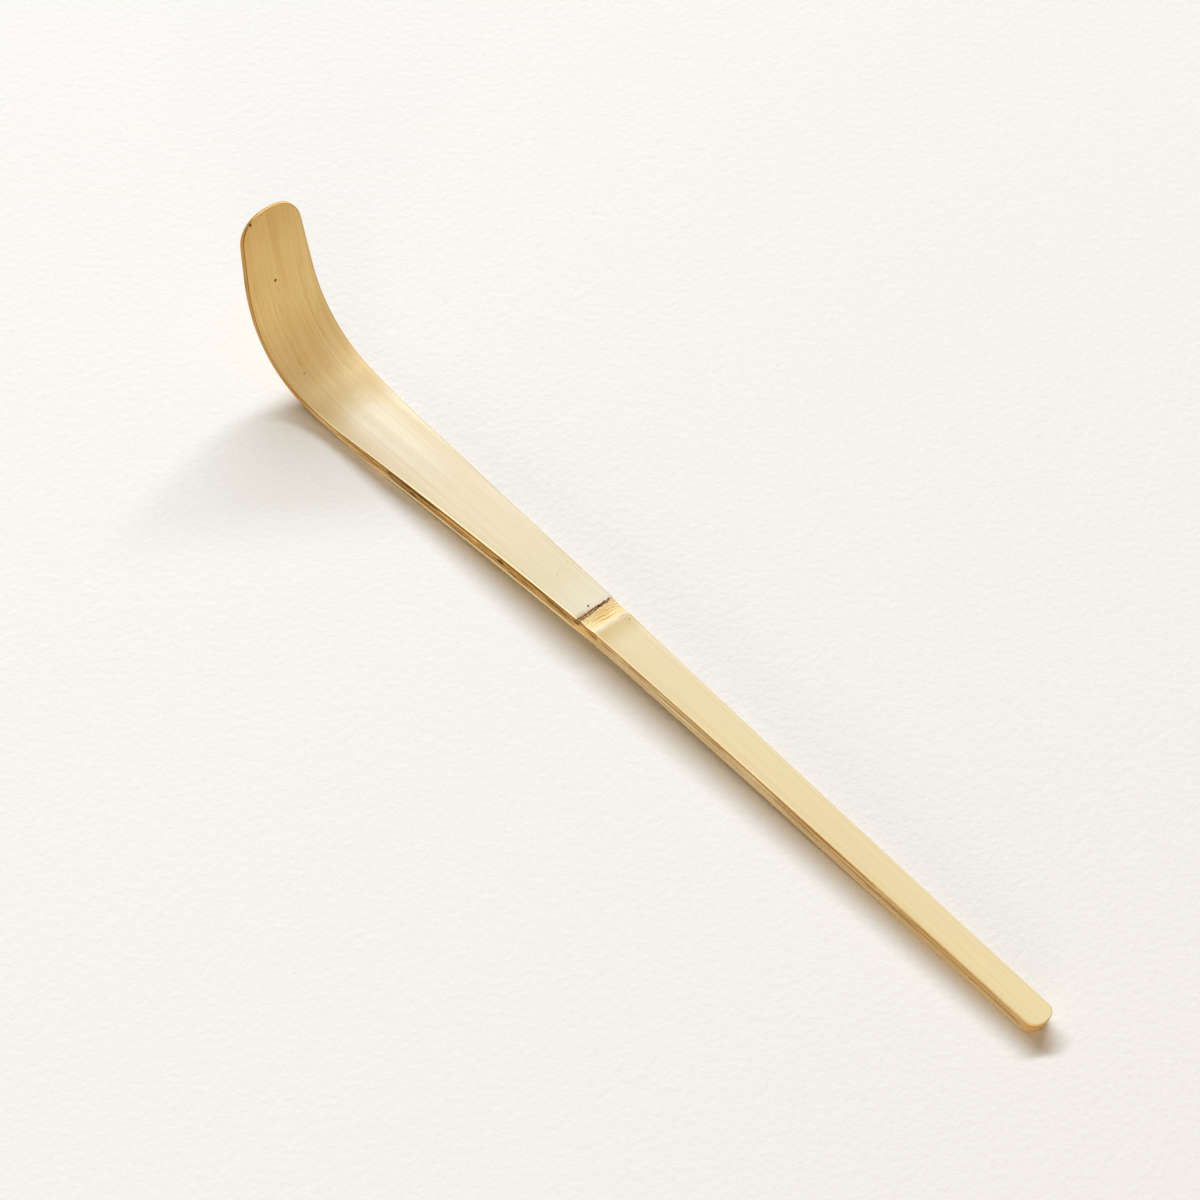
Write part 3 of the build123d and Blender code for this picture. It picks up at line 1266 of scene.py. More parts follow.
@dataclass(frozen=True)
class SkinStreaks:
    """Streaks in the skin, marks of heat on the bend, haze beside the scar, and painted sheen mottles and
    painted edge shade on the shank.
    """

    soft: Streaks = Streaks(
        Grain(0.014, 0.55, offset=(3.0, 1.0, 0.0), ease=Ease(0.45, 0.7, 0.0, 0.4)),
        tint=(0.94, 0.91, 0.84),
    )
    brown: Streaks = Streaks(
        Grain(0.05, 0.95, detail=3.0, offset=(6.0, 4.0, 0.0), ease=Ease(0.42, 0.66, 0.0, 0.8)),
        tint=(0.92, 0.86, 0.73),
    )
    dashes: Streaks = Streaks(
        Grain(0.3, 3.4, detail=1.0, offset=(2.0, 9.0, 0.0), ease=Ease(0.66, 0.74, 0.0, 0.5)),
        tint=(0.66, 0.52, 0.3),
    )
    dashed: Stretch = Stretch((160.0, 164.0), (176.0, 186.0))
    # Painted highlight: pale mottles over the edge of the sheen on the shank before the bend.
    sheen_mottle: Grain = Grain(0.2, 0.32, detail=3.0, offset=(8.0, 0.0, 0.0), ease=Ease(0.4, 0.56, 0.0, 0.5))
    sheen_mottle_colour: Colour = tone(239, 220, 178)
    sheen_mottled: Stretch = Stretch((151.0, 155.0), (156.0, 161.0))
    inside: Ease = Ease(1.6, 4.2)
    # Painted shade: warmer, darker edges of the shank where its sheen falls off.
    flank: Stretch = Stretch((126.0, 148.0), (157.0, 164.0))
    shank_edge_shade_reach: Ease = Ease(0.2, 1.2, 0.4, 1.0)
    shank_edge_shade_tint: Triple = (0.95, 0.87, 0.7)
    haze: Stretch = Stretch((-0.1, 0.0), (0.1, 0.9))
    haze_reach: Ease = Ease(-2.6, 0.4, 0.9, 0.3)
    haze_tint: Triple = (0.76, 0.6, 0.4)

    def dress(self, sheet: FinishSheet, colour: Socket, toasted: Socket, scar_end: float) -> Socket:
        """Streaks the skin, and paints the sheen's mottled edge and the shade along the shank's edges.

        Args:
            sheet: the finish of the skin.
            colour: its colour so far.
            toasted: share of the heat's colour.
            scar_end: where the scar meets the skin, along the slip.

        Returns:
            The colour with its streaks.
        """
        colour = sheet.streaked(colour, self.soft)
        colour = sheet.streaked(colour, self.brown, toasted)
        colour = sheet.streaked(colour, self.dashes, sheet.within(sheet.along, self.dashed))
        inside = sheet.eased(sheet.edge, self.inside)
        # Painted highlight: mottles at the edge of the shank's sheen.
        sheen_mottle = sheet.product(sheet.grain(self.sheen_mottle), sheet.within(sheet.along, self.sheen_mottled), inside)
        colour = sheet.blend(sheen_mottle, colour, self.sheen_mottle_colour)
        # Painted shade along the shank's edges, outside the sheen.
        flank = sheet.product(sheet.inverse(inside), sheet.within(sheet.along, self.flank))
        flank = sheet.product(flank, sheet.eased(sheet.edge, self.shank_edge_shade_reach))
        colour = sheet.tinted(flank, colour, self.shank_edge_shade_tint)
        beside = sheet.within(sheet.along, self.haze.moved(scar_end))
        haze = sheet.product(beside, sheet.eased(sheet.across, self.haze_reach))
        return sheet.tinted(haze, colour, self.haze_tint)


@dataclass(frozen=True)
class SkinArrises:
    """Worn arrises of the skin: cream on the near one, tan on the far one, amber round the blade; painted
    shade beside the near one.
    """

    # Painted shade: a warm, slightly darker strip on the top beside the near arris, where the crowned top
    # turns from the light, broken up by the grain.
    warm: Streaks = Streaks(
        Grain(0.05, 0.15, offset=(4.0, 6.0, 0.0), ease=Ease(0.4, 0.62, 0.35, 1.0)),
        tint=(0.96, 0.9, 0.78),
    )
    arris_shade_reach: Ease = Ease(0.25, 2.0, 0.55, 0.0)
    arris_shade_start: Ease = Ease(104.0, 118.0, 0.25, 1.0)
    cream: Colour = tone(255, 246, 200)
    cream_reach: Ease = Ease(0.16, 0.3, 1.0, 0.0)
    cream_by_butt: Ease = Ease(16.0, 62.0, 0.1, 1.0)
    cream_by_node: Ease = Ease(92.0, 100.0, 0.6, 1.0)
    tan_tint: Triple = (0.9, 0.8, 0.6)
    tan_reach: Ease = Ease(0.02, 0.2, 0.6, 0.0)
    amber: Colour = tone(222, 170, 84)
    amber_reach: Ease = Ease(0.05, 0.28, 0.8, 0.0)
    amber_by_side: Ease = Ease(0.0, 1.0, 1.0, 0.35)

    def dress(self, sheet: FinishSheet, colour: Socket, toasted: Socket) -> Socket:
        """Wears the arrises, and paints shade on the top beside the near one.

        Args:
            sheet: the finish of the skin.
            colour: its colour so far.
            toasted: share of the heat's colour.

        Returns:
            The colour with its arrises.
        """
        plain, near = sheet.inverse(toasted), sheet.near()
        # Painted shade beside the near arris.
        reach, start = sheet.eased(sheet.edge, self.arris_shade_reach), sheet.eased(sheet.along, self.arris_shade_start)
        colour = sheet.streaked(colour, self.warm, reach, start, near)
        cream = sheet.product(sheet.eased(sheet.edge, self.cream_reach), near, plain)
        for worn in (self.cream_by_butt, self.cream_by_node):
            cream = sheet.product(cream, sheet.eased(sheet.along, worn))
        colour = sheet.blend(cream, colour, self.cream)
        tan = sheet.product(sheet.eased(sheet.edge, self.tan_reach), sheet.inverse(near), plain)
        colour = sheet.tinted(tan, colour, self.tan_tint)
        amber = sheet.product(sheet.eased(sheet.edge, self.amber_reach), toasted)
        amber = sheet.product(amber, sheet.eased(near, self.amber_by_side))
        return sheet.blend(amber, colour, self.amber)


@dataclass(frozen=True)
class SkinCut:
    """Cut edge of the skin: golden on the handle, amber on the shank, tan turning dark on the blade."""

    start: Ease = Ease(0.05, 0.14)
    streak: Grain = Grain(0.05, 0.3, 5.0)
    streak_stops: Run = (0.35, 0.65)
    golden: tuple[Colour, Colour] = (tone(192, 124, 10), tone(206, 142, 26))
    worn: Colour = tone(246, 210, 140)
    worn_reach: Ease = Ease(30.0, 66.0, 0.95, 0.0)
    amber: tuple[Colour, Colour] = (tone(172, 98, 2), tone(190, 122, 18))
    amber_start: Ease = Ease(90.0, 102.0)
    tan: tuple[Colour, Colour] = (tone(176, 128, 42), tone(142, 88, 18))
    tan_depth: Ease = Ease(0.05, 0.22)
    lit: Colour = tone(244, 200, 120)
    lit_reach: Ease = Ease(-4.8, -1.5)

    def colour_on(self, sheet: FinishSheet, toasted: Socket) -> Socket:
        """Colours the cut edge.

        Args:
            sheet: the finish of the skin.
            toasted: share of the heat's colour.

        Returns:
            The colour.
        """
        streak = sheet.grain(self.streak)
        golden = sheet.stops(streak, self.streak_stops, self.golden)
        golden = sheet.blend(sheet.eased(sheet.along, self.worn_reach), golden, self.worn)
        amber = sheet.stops(streak, self.streak_stops, self.amber)
        amber = sheet.blend(sheet.eased(sheet.along, self.amber_start), golden, amber)
        tan = sheet.blend(sheet.eased(sheet.depth, self.tan_depth), *self.tan)
        tan = sheet.blend(sheet.eased(sheet.across, self.lit_reach), tan, self.lit)
        return sheet.blend(toasted, amber, tan)


@dataclass(frozen=True)
class SkinFinish:
    """Polished outer skin of the bamboo, toasted where it is bent over heat, with painted sheen on the shank
    and painted shade on the bend.
    """

    slip: Slip
    name: str = "bamboo_skin_polished"
    # Colour along the slip. Besides the skin's own tone, these stops paint light: the lighter stops at 146
    # and 154 paint the sheen on the shank before the bend, and the darker stop at 160 paints shade where the
    # bend turns away from the light.
    stops: tuple[tuple[float, Colour], ...] = (
        (0.0, tone(230, 209, 154)),
        (60.0, tone(226, 204, 149)),
        (90.5, tone(224, 203, 153)),
        (94.6, tone(207, 179, 109)),
        (99.3, tone(216, 203, 169)),
        (109.0, tone(211, 193, 144)),
        (120.0, tone(213, 192, 145)),
        (133.0, tone(212, 191, 143)),
        (146.0, tone(225, 207, 165)),
        (154.0, tone(230, 213, 170)),
        (160.0, tone(227, 200, 137)),
        (164.0, tone(244, 217, 160)),
        (171.0, tone(246, 221, 166)),
        (177.0, tone(241, 217, 158)),
        (186.0, tone(229, 200, 136)),
        (197.0, tone(217, 184, 114)),
    )
    specks: tuple[Speck, ...] = (
        Speck(100.02, -0.53, 0.22),
        Speck(100.12, -0.3, 0.12),
        Speck(108.05, 0.03, 0.14, 1.0, 0.5),
        Speck(109.1, 2.89, 0.13, 1.0, 0.5),
        Speck(112.0, 0.13, 0.13, 1.0, 0.5),
        Speck(94.0, 2.6, 0.16, 1.8, 0.4),
        Speck(183.3, -1.2, 0.3, 1.1),
        Speck(181.6, -1.1, 0.14, 6.0, 0.12),
        Speck(167.1, -3.2, 0.2, 2.0, 0.36),
        Speck(195.55, -3.75, 0.22, 1.6),
    )
    speck_colour: Colour = tone(96, 36, 2)
    toasting: Ease = Ease(157.0, 165.0)
    lines: SkinLines = SkinLines()
    line_tint: Triple = (0.915, 0.875, 0.785)
    streaks: SkinStreaks = SkinStreaks()
    arrises: SkinArrises = SkinArrises()
    cut: SkinCut = SkinCut()
    polish: Grain = Grain(0.03, 0.8, offset=(5.0, 2.0, 0.0), ease=Ease(0.3, 0.7, 0.39, 0.45))
    far_rim: Ease = Ease(0.1, 0.25, 1.0, 0.0)
    shine: Ease = Ease(0.0, 1.0, 0.45, 0.04)
    bump: float = 0.006

    def make(self) -> Material:
        """Builds the material.

        Returns:
            The material.
        """
        sheet = FinishSheet(self.name)
        toasted = sheet.eased(sheet.along, self.toasting)
        cut = sheet.eased(sheet.depth, self.cut.start)
        lines = self.lines.share_on(sheet)
        places, shades = zip(*((place / self.slip.length, shade) for place, shade in self.stops))
        colour = sheet.stops(sheet.calc("DIVIDE", sheet.along, self.slip.length), places, shades)
        colour = sheet.tinted(lines, colour, self.line_tint)
        colour = self.streaks.dress(sheet, colour, toasted, self.slip.node_end)
        colour = self.arrises.dress(sheet, colour, toasted)
        colour = sheet.blend(cut, colour, self.cut.colour_on(sheet, toasted))
        far_rim = sheet.product(sheet.inverse(sheet.near()), sheet.eased(sheet.edge, self.far_rim))
        dull = sheet.calc("MAXIMUM", cut, far_rim)
        for speck in self.specks:
            share = speck.share_on(sheet)
            colour = sheet.blend(share, colour, self.speck_colour)
            dull = sheet.calc("MAXIMUM", dull, share)
        shine = sheet.eased(dull, self.shine)
        return sheet.close(colour, sheet.inverse(lines), sheet.grain(self.polish), self.bump, shine)


@dataclass(frozen=True)
class LongTint:
    """Tint that comes in along the slip."""

    start: Ease
    tint: Triple


@dataclass(frozen=True)
class Lip:
    """Pale lip along the foot of the node's core, which turns from one shade to another along the slip."""

    shades: tuple[Colour, Colour]
    turn: Ease
    reach: Ease = Ease(0.44, 0.54, 0.0, 0.9)


@dataclass(frozen=True)
class WallFinish:
    """Cut fibres of the culm's wall, seen on the sides and on the back of the blade."""

    name: str
    shades: tuple[Colour, Colour, Colour]
    split: Colour
    amber_share: float
    split_share: float
    seam_share: float
    clefts: tuple[Cleft, ...]
    tints: tuple[LongTint, ...]
    lip: Lip | None = None
    roughness: float = 0.65
    shine: float = 0.12
    bump: float = 0.012
    shade_stops: Triple = (0.38, 0.5, 0.6)
    back_reach: Ease = Ease(0.15, 0.5)
    back_start: Ease = Ease(144.0, 150.0)
    blade_start: Ease = Ease(154.0, 162.0)
    side_streak: Grain = Grain(0.02, 0.5, 3.0, 3.0)
    back_streak: Grain = Grain(0.02, 1.3, 0.25, 3.0)
    side_fine: Grain = Grain(0.02, 1.0, 5.0, offset=(4.0, 0.0, 2.0))
    back_fine: Grain = Grain(0.035, 5.0, 0.4)
    fine_share: float = 0.22
    calm_level: float = 0.52
    calm_share: float = 0.45
    amber: Colour = tone(188, 127, 22)
    amber_top: float = 0.42
    amber_foot: Ease = Ease(136.0, 150.0, 0.85, 0.55)
    lining_end: Ease = Ease(144.0, 152.0, 1.0, 0.0)
    seam_reach: Run = (0.78, 1.0)
    seam_tint: Triple = (0.42, 0.34, 0.24)
    split_shape: Grain = Grain(0.045, 0.4, 2.2, offset=(0.0, 0.0, 7.0))
    split_width: Ease = Ease(0.012, 0.05, 1.0, 0.0)
    split_place: Grain = Grain(0.07, 0.2, 0.4, 1.0, (9.0, 0.0, 0.0))
    split_places: Run = (0.46, 0.58)
    cleft_ragged: float = 1.4
    cleft_reach: Run = (0.4, 1.0)

    def make(self) -> Material:
        """Builds the material.

        Returns:
            The material.
        """
        sheet = FinishSheet(self.name)
        back = sheet.eased(sheet.edge, self.back_reach)
        back = sheet.product(back, sheet.eased(sheet.along, self.back_start))
        blade = sheet.calc("MAXIMUM", sheet.eased(sheet.along, self.blade_start), back)
        streak = sheet.either(blade, sheet.grain(self.side_streak), sheet.grain(self.back_streak))
        fine = sheet.either(blade, sheet.grain(self.side_fine), sheet.grain(self.back_fine))
        mixed = sheet.mean(self.fine_share, streak, fine)
        calmer = sheet.product(sheet.calc("SUBTRACT", self.calm_level, mixed), blade, self.calm_share)
        colour = sheet.stops(sheet.calc("ADD", mixed, calmer), self.shade_stops, self.shades)
        foot = sheet.eased(sheet.along, self.amber_foot)
        amber = sheet.eased(sheet.depth, Ease(self.amber_top, foot, self.amber_share, 0.0))
        colour = sheet.blend(sheet.product(amber, sheet.inverse(blade)), colour, self.amber)
        for tint in self.tints:
            colour = sheet.tinted(sheet.eased(sheet.along, tint.start), colour, tint.tint)
        lined = sheet.eased(sheet.along, self.lining_end)
        seam = sheet.eased(sheet.seam, Ease(*self.seam_reach, 0.0, self.seam_share))
        colour = sheet.tinted(sheet.product(seam, lined, streak), colour, self.seam_tint)
        splits = self._splits(sheet, lined, fine)
        colour = sheet.blend(splits, colour, self.split)
        if self.lip:
            lip = sheet.blend(sheet.eased(sheet.along, self.lip.turn), *self.lip.shades)
            colour = sheet.blend(sheet.eased(sheet.seam, self.lip.reach), colour, lip)
        relief = sheet.calc("SUBTRACT", fine, splits)
        return sheet.close(colour, relief, self.roughness, self.bump, self.shine)

    def _splits(self, sheet: FinishSheet, lined: Socket, fine: Socket) -> Socket:
        """Draws the thin splits between the fibres, and the clefts of the near side.

        Args:
            sheet: the finish of the wall.
            lined: share of the thin splits along the slip.
            fine: fine grain, which makes the clefts ragged.

        Returns:
            The share of the splits' dark colour.
        """
        gap = sheet.calc("ABSOLUTE", sheet.calc("SUBTRACT", sheet.grain(self.split_shape), 0.5))
        where = sheet.eased(sheet.grain(self.split_place), Ease(*self.split_places, 0.0, self.split_share))
        dark = sheet.product(sheet.eased(gap, self.split_width), where, lined)
        for cleft in self.clefts:
            reach = sheet.away((cleft.along, 0.0, cleft.depth), (1 / cleft.long, 0.0, 1 / cleft.high))
            ragged = sheet.off_middle(fine, self.cleft_ragged, reach)
            share = sheet.eased(ragged, Ease(*self.cleft_reach, cleft.share, 0.0))
            dark = sheet.calc("MAXIMUM", dark, sheet.product(share, sheet.near()))
        return dark


@dataclass(frozen=True)
class LiningFinish:
    """Soft pale inner layer along the underside."""

    slip: Slip
    name: str = "inner_layer_soft"
    roughness: float = 0.7
    shine: float = 0.12
    bump: float = 0.02
    streak: Grain = Grain(0.04, 1.1, 3.0, 3.0)
    fine: Grain = Grain(0.08, 3.5, 4.5, 3.0, (2.0, 5.0, 0.0))
    fine_share: float = 0.3
    shade_stops: Triple = (0.32, 0.52, 0.7)
    shades: tuple[Colour, ...] = (tone(236, 206, 150), tone(248, 226, 178), tone(252, 236, 198))
    handle_tint: Triple = (0.78, 0.73, 0.68)
    butt_reach: Ease = Ease(1.6, 3.0, 1.0, 0.0)
    butt_tint: Triple = (0.85, 0.7, 0.5)

    def make(self) -> Material:
        """Builds the material.

        Returns:
            The material.
        """
        sheet = FinishSheet(self.name)
        mixed = sheet.mean(self.fine_share, sheet.grain(self.streak), sheet.grain(self.fine))
        colour = sheet.stops(mixed, self.shade_stops, self.shades)
        handle = sheet.eased(sheet.along, Ease(self.slip.node_start, self.slip.node_end, 1.0, 0.0))
        colour = sheet.tinted(handle, colour, self.handle_tint)
        colour = sheet.tinted(sheet.eased(sheet.along, self.butt_reach), colour, self.butt_tint)
        return sheet.close(colour, mixed, self.roughness, self.bump, self.shine)


@dataclass(frozen=True)
class CrossFibreFinish:
    """Golden cross fibres of the node's groove, in fine wavy contours."""

    slip: Slip
    name: str = "node_fibre_golden"
    roughness: float = 0.55
    shine: float = 0.3
    bump: float = 0.012
    swell: Grain = Grain(0.3, 0.34)
    swell_turns: float = 26.0
    along_turns: float = 13.0
    shade_stops: Triple = (0.0, 0.4, 1.0)
    shades: tuple[Colour, ...] = (tone(222, 179, 92), tone(240, 208, 138), tone(249, 225, 168))
    patches: Grain = Grain(0.8, 0.6, offset=(4.0, 4.0, 0.0), ease=Ease(0.5, 0.68, 0.0, 0.45))
    patch_colour: Colour = tone(232, 186, 84)
    pale_reach: Ease = Ease(-2.6, -0.6, 0.5, 0.0)
    pale: Colour = tone(247, 228, 176)
    stain_reach: Ease = Ease(-0.6, 0.1, 0.0, 0.4)
    stain: Colour = tone(214, 168, 94)
    edge: EdgeTones = EdgeTones(tone(255, 242, 194), Ease(0.18, 0.34, 0.95, 0.0), tone(194, 130, 46))

    def make(self) -> Material:
        """Builds the material.

        Returns:
            The material.
        """
        sheet = FinishSheet(self.name)
        steady = sheet.calc("MULTIPLY", sheet.along, self.along_turns)
        level = sheet.calc("MULTIPLY_ADD", sheet.grain(self.swell), self.swell_turns, steady)
        wave = sheet.calc("MULTIPLY_ADD", sheet.calc("SINE", level), 0.5, 0.5)
        colour = sheet.stops(wave, self.shade_stops, self.shades)
        colour = sheet.blend(sheet.grain(self.patches), colour, self.patch_colour)
        colour = sheet.blend(sheet.eased(sheet.across, self.pale_reach), colour, self.pale)
        stain = sheet.eased(sheet.along, self.stain_reach.moved(self.slip.scar_start))
        colour = sheet.blend(stain, colour, self.stain)
        return sheet.close(sheet.edged(colour, self.edge), wave, self.roughness, self.bump, self.shine)


@dataclass(frozen=True)
class RidgeFinish:
    """Ridge of the node, with a pale crest that is partly wear and partly a painted highlight."""

    slip: Slip
    name: str = "node_ridge_pale"
    roughness: float = 0.48
    shine: float = 0.35
    bump: float = 0.01
    fine: Grain = Grain(1.2, 0.5, 0.6, 3.0)
    sway: Grain = Grain(0.2, 0.45, offset=(1.0, 3.0, 0.0))
    swing: float = 0.4
    flanks: tuple[Colour, Colour] = (tone(228, 201, 144), tone(232, 202, 138))
    flank_start: float = 0.2
    # The crest's pale colour is partly wear and partly a painted highlight on the raised crest.
    crest: Stretch = Stretch((-0.25, 0.1), (0.35, 0.75))
    crest_wear_and_sheen_share: float = 0.85
    crest_wear_and_sheen_stops: Run = (0.3, 0.6)
    pale: tuple[Colour, Colour] = (tone(213, 191, 153), tone(225, 208, 179))
    scrape_along: Stretch = Stretch((0.35, 0.5), (0.6, 0.75))
    scrape_across: Stretch = Stretch((1.2, 1.9), (2.5, 3.0))
    scrape_share: float = 0.5
    scrape: Colour = tone(184, 132, 70)
    edge: EdgeTones = EdgeTones(tone(255, 243, 200), Ease(0.18, 0.34, 0.9, 0.0), tone(196, 134, 52))

    def make(self) -> Material:
        """Builds the material.

        Returns:
            The material.
        """
        sheet = FinishSheet(self.name)
        start, end = self.slip.node_start, self.slip.ridge_start
        middle = (start + end) / 2
        fine = sheet.grain(self.fine)
        flank = sheet.eased(sheet.along, Ease(middle + self.flank_start, end))
        colour = sheet.blend(flank, *self.flanks)
        sway = sheet.calc("MULTIPLY_ADD", sheet.grain(self.sway), self.swing, sheet.along)
        # Pale crest: partly wear, partly a painted highlight.
        crest = sheet.product(sheet.within(sway, self.crest.moved(middle)), self.crest_wear_and_sheen_share)
        colour = sheet.blend(crest, colour, sheet.stops(fine, self.crest_wear_and_sheen_stops, self.pale))
        scrape = sheet.within(sheet.along, self.scrape_along.moved(start))
        scrape = sheet.product(scrape, sheet.within(sheet.across, self.scrape_across), self.scrape_share)
        colour = sheet.blend(scrape, colour, self.scrape)
        return sheet.close(sheet.edged(colour, self.edge), fine, self.roughness, self.bump, self.shine)


@dataclass(frozen=True)
class ScarFinish:
    """Corky tissue of the sheath scar, in one of its shades, with a share of brown haze along its line."""

    slip: Slip
    name: str
    shades: tuple[Colour, Colour]
    haze: float = 0.0
    roughness: float = 0.75
    shine: float = 0.15
    bump: float = 0.02
    spots: Grain = Grain(2.2, 2.2, 1.0, 3.0)
    spot_stops: Run = (0.35, 0.65)
    slant: float = 0.045
    ragged: float = 0.7
    haze_reach: Run = (0.12, 0.46)
    haze_end: Ease = Ease(2.7, 3.2, 1.0, 0.0)
    brown: Colour = tone(146, 98, 52)
    stain_start: Ease = Ease(2.6, 3.1, 0.0, 0.7)
    stain_reach: Ease = Ease(0.2, 0.5, 1.0, 0.0)
    stain: Colour = tone(226, 176, 112)
    edge: EdgeTones = EdgeTones(
        tone(250, 232, 184), Ease(0.16, 0.28, 0.5, 0.0), tone(150, 96, 40), 0.85, near_only=True
    )

    def make(self) -> Material:
        """Builds the material.

        Returns:
            The material.
        """
        sheet = FinishSheet(self.name)
        spots = sheet.grain(self.spots)
        colour = sheet.stops(spots, self.spot_stops, self.shades)
        if self.haze:
            colour = self._stained(sheet, colour, spots)
        return sheet.close(colour, spots, self.roughness, self.bump, self.shine)

    def _stained(self, sheet: FinishSheet, colour: Socket, spots: Socket) -> Socket:
        """Stains the cork: haze along the scar, orange at its far end and brown on its near cut.

        Args:
            sheet: the finish of the scar.
            colour: its colour so far.
            spots: its spots, which make the haze ragged.

        Returns:
            The colour with its stains.
        """
        middle = self.slip.handle_length + self.slip.scar_line
        line = sheet.calc("MULTIPLY_ADD", sheet.across, self.slant, middle)
        away = sheet.calc("ABSOLUTE", sheet.calc("SUBTRACT", sheet.along, line))
        ragged = sheet.off_middle(spots, self.ragged, away)
        haze = sheet.eased(ragged, Ease(*self.haze_reach, self.haze, 0.0))
        haze = sheet.product(haze, sheet.eased(sheet.across, self.haze_end))
        colour = sheet.blend(haze, colour, self.brown)
        stain = sheet.eased(sheet.across, self.stain_start)
        stain = sheet.product(stain, sheet.eased(away, self.stain_reach))
        colour = sheet.blend(stain, colour, self.stain)
        return sheet.edged(colour, self.edge)


@dataclass(frozen=True)
class Finishes:
    """Every finish of the scoop, made once."""

    skin: Material
    scoop_wall: Material
    node_core: Material
    handle_wall: Material
    lining: Material
    band: Material
    ridge: Material
    scar: Material
    grain_dark: Material
    grain_pale: Material

    @classmethod
    def make(cls, slip: Slip) -> "Finishes":
        """Builds all the materials.

        Args:
            slip: sizes of the slip.

        Returns:
            The finishes.
        """
        walls = cls._walls(slip)
        cork = (tone(228, 198, 144), tone(238, 216, 168))
        dark = (tone(64, 35, 15), tone(110, 68, 34))
        pith = (tone(212, 178, 128), tone(236, 210, 164))
        return cls(
            skin=SkinFinish(slip).make(),
            scoop_wall=walls["scoop_wall"].make(),
            node_core=walls["node_core"].make(),
            handle_wall=walls["handle_wall"].make(),
            lining=LiningFinish(slip).make(),
            band=CrossFibreFinish(slip).make(),
            ridge=RidgeFinish(slip).make(),
            scar=ScarFinish(slip, "sheath_scar_cork", cork, haze=0.85).make(),
            grain_dark=ScarFinish(slip, "sheath_scar_grains", dark).make(),
            grain_pale=ScarFinish(slip, "sheath_scar_pith", pith).make(),
        )

    @staticmethod
    def _walls(slip: Slip) -> dict[str, WallFinish]:
        """Describes the three stretches of the wall.

        Args:
            slip: sizes of the slip.

        Returns:
            The finish of each stretch, by its name.
        """
        brown = tone(84, 52, 16)
        shank = (tone(192, 146, 76), tone(234, 198, 130), tone(245, 220, 164))
        scoop_wall = WallFinish(
            "culm_wall_shank", shank, brown, amber_share=0.9, split_share=0.9, seam_share=0.9,
            clefts=SHANK_CLEFTS,
            tints=(
                LongTint(Ease(124.0, 144.0), (1.05, 1.12, 1.28)),
                LongTint(Ease(157.0, 165.0), (0.66, 0.52, 0.32)),
            ),
        )
        node_core = WallFinish(
            "culm_wall_node", shank, brown, amber_share=0.6, split_share=0.6, seam_share=0.0,
            clefts=SHANK_CLEFTS,
            tints=(LongTint(Ease(slip.scar_start, slip.node_start), (0.89, 1.0, 1.25)),),
            lip=Lip((tone(244, 220, 170), tone(218, 191, 143)), Ease(slip.node_end, slip.node_start)),
        )
        handle = (tone(208, 178, 128), tone(231, 215, 176), tone(238, 226, 192))
        handle_wall = WallFinish(
            "culm_wall_handle", handle, tone(168, 114, 54), amber_share=0.45, split_share=0.3,
            seam_share=0.25, clefts=HANDLE_CLEFTS,
            tints=(
                LongTint(Ease(62.0, 44.0), (0.87, 0.77, 0.62)),
                LongTint(Ease(87.0, 94.6), (0.88, 0.78, 0.62)),
                LongTint(Ease(2.6, 1.2), (0.88, 0.75, 0.55)),
            ),
        )
        return {"scoop_wall": scoop_wall, "node_core": node_core, "handle_wall": handle_wall}


class GrainShade(Enum):
    """Shades of the scar's grains, by the name of their finish."""

    DARK = "grain_dark"
    PALE = "grain_pale"


@dataclass(frozen=True)
class GrainRow:
    """Row of grains across the scar: its offset along, its two ends across, and how its grains are set."""

    name: str
    offset: float
    ends: Run
    pitch: float
    size: Triple
    seed: int
    shade: GrainShade = GrainShade.DARK
    jitter: float = 0.07
    slant: float = 0.04
    bow: float = -0.06
    sway: float = -0.12
    sink: float = 0.02

    def values(self, line: float, finish: Material) -> dict[str, object]:
        """Works out what the tree of grains needs.

        Args:
            line: where the scar's line crosses the middle of the slip.
            finish: finish of the grains.

        Returns:
            Values of the tree's inputs, by name.
        """
        near, far = ((line + self.offset + self.slant * end, end, 0.0) for end in self.ends)
        return {
            "Start": metres(near),
            "End": metres(far),
            "Bow": metres((self.bow, 0.0, 0.0)),
            "Sway": metres((self.sway, 0.0, 0.0)),
            "Pitch": self.pitch * MM,
            "Jitter": metres((self.jitter, self.jitter, 0.0)),
            "Size": metres(self.size),
            "Sink": self.sink * MM,
            "Seed": self.seed,
            "Finish": finish,
        }


@dataclass(frozen=True)
class FibreSet:
    """Fine fibres on a layer: how many, which way they run, wave and lie, and their sizes."""

    count: int
    run: Triple = (1.0, 0.0, 0.0)
    shortest: float = 5.0
    longest: float = 18.0
    wave: Triple = (0.0, 0.0, 0.12)
    waves_in_metre: float = 120.0
    sink: float = 0.012
    thickness: float = 0.09

    def values(self, low: Triple, high: Triple, cast: Triple, finish: Material,
               seed: int) -> dict[str, object]:
        """Works out what the tree of strands needs.

        Args:
            low: least place along, across and high on the flat blank.
            high: greatest place.
            cast: direction in which the fibres drop onto the blank.
            finish: finish of the fibres.
            seed: seed of their places.

        Returns:
            Values of the tree's inputs, by name.
        """
        return {
            "Count": self.count,
            "Low": metres(low),
            "High": metres(high),
            "Run": self.run,
            "Shortest": self.shortest * MM,
            "Longest": self.longest * MM,
            "Wave": metres(self.wave),
            "Wave Pitch": self.waves_in_metre,
            "Cast": cast,
            "Sink": self.sink * MM,
            "Thickness": self.thickness * MM,
            "Seed": seed,
            "Finish": finish,
        }


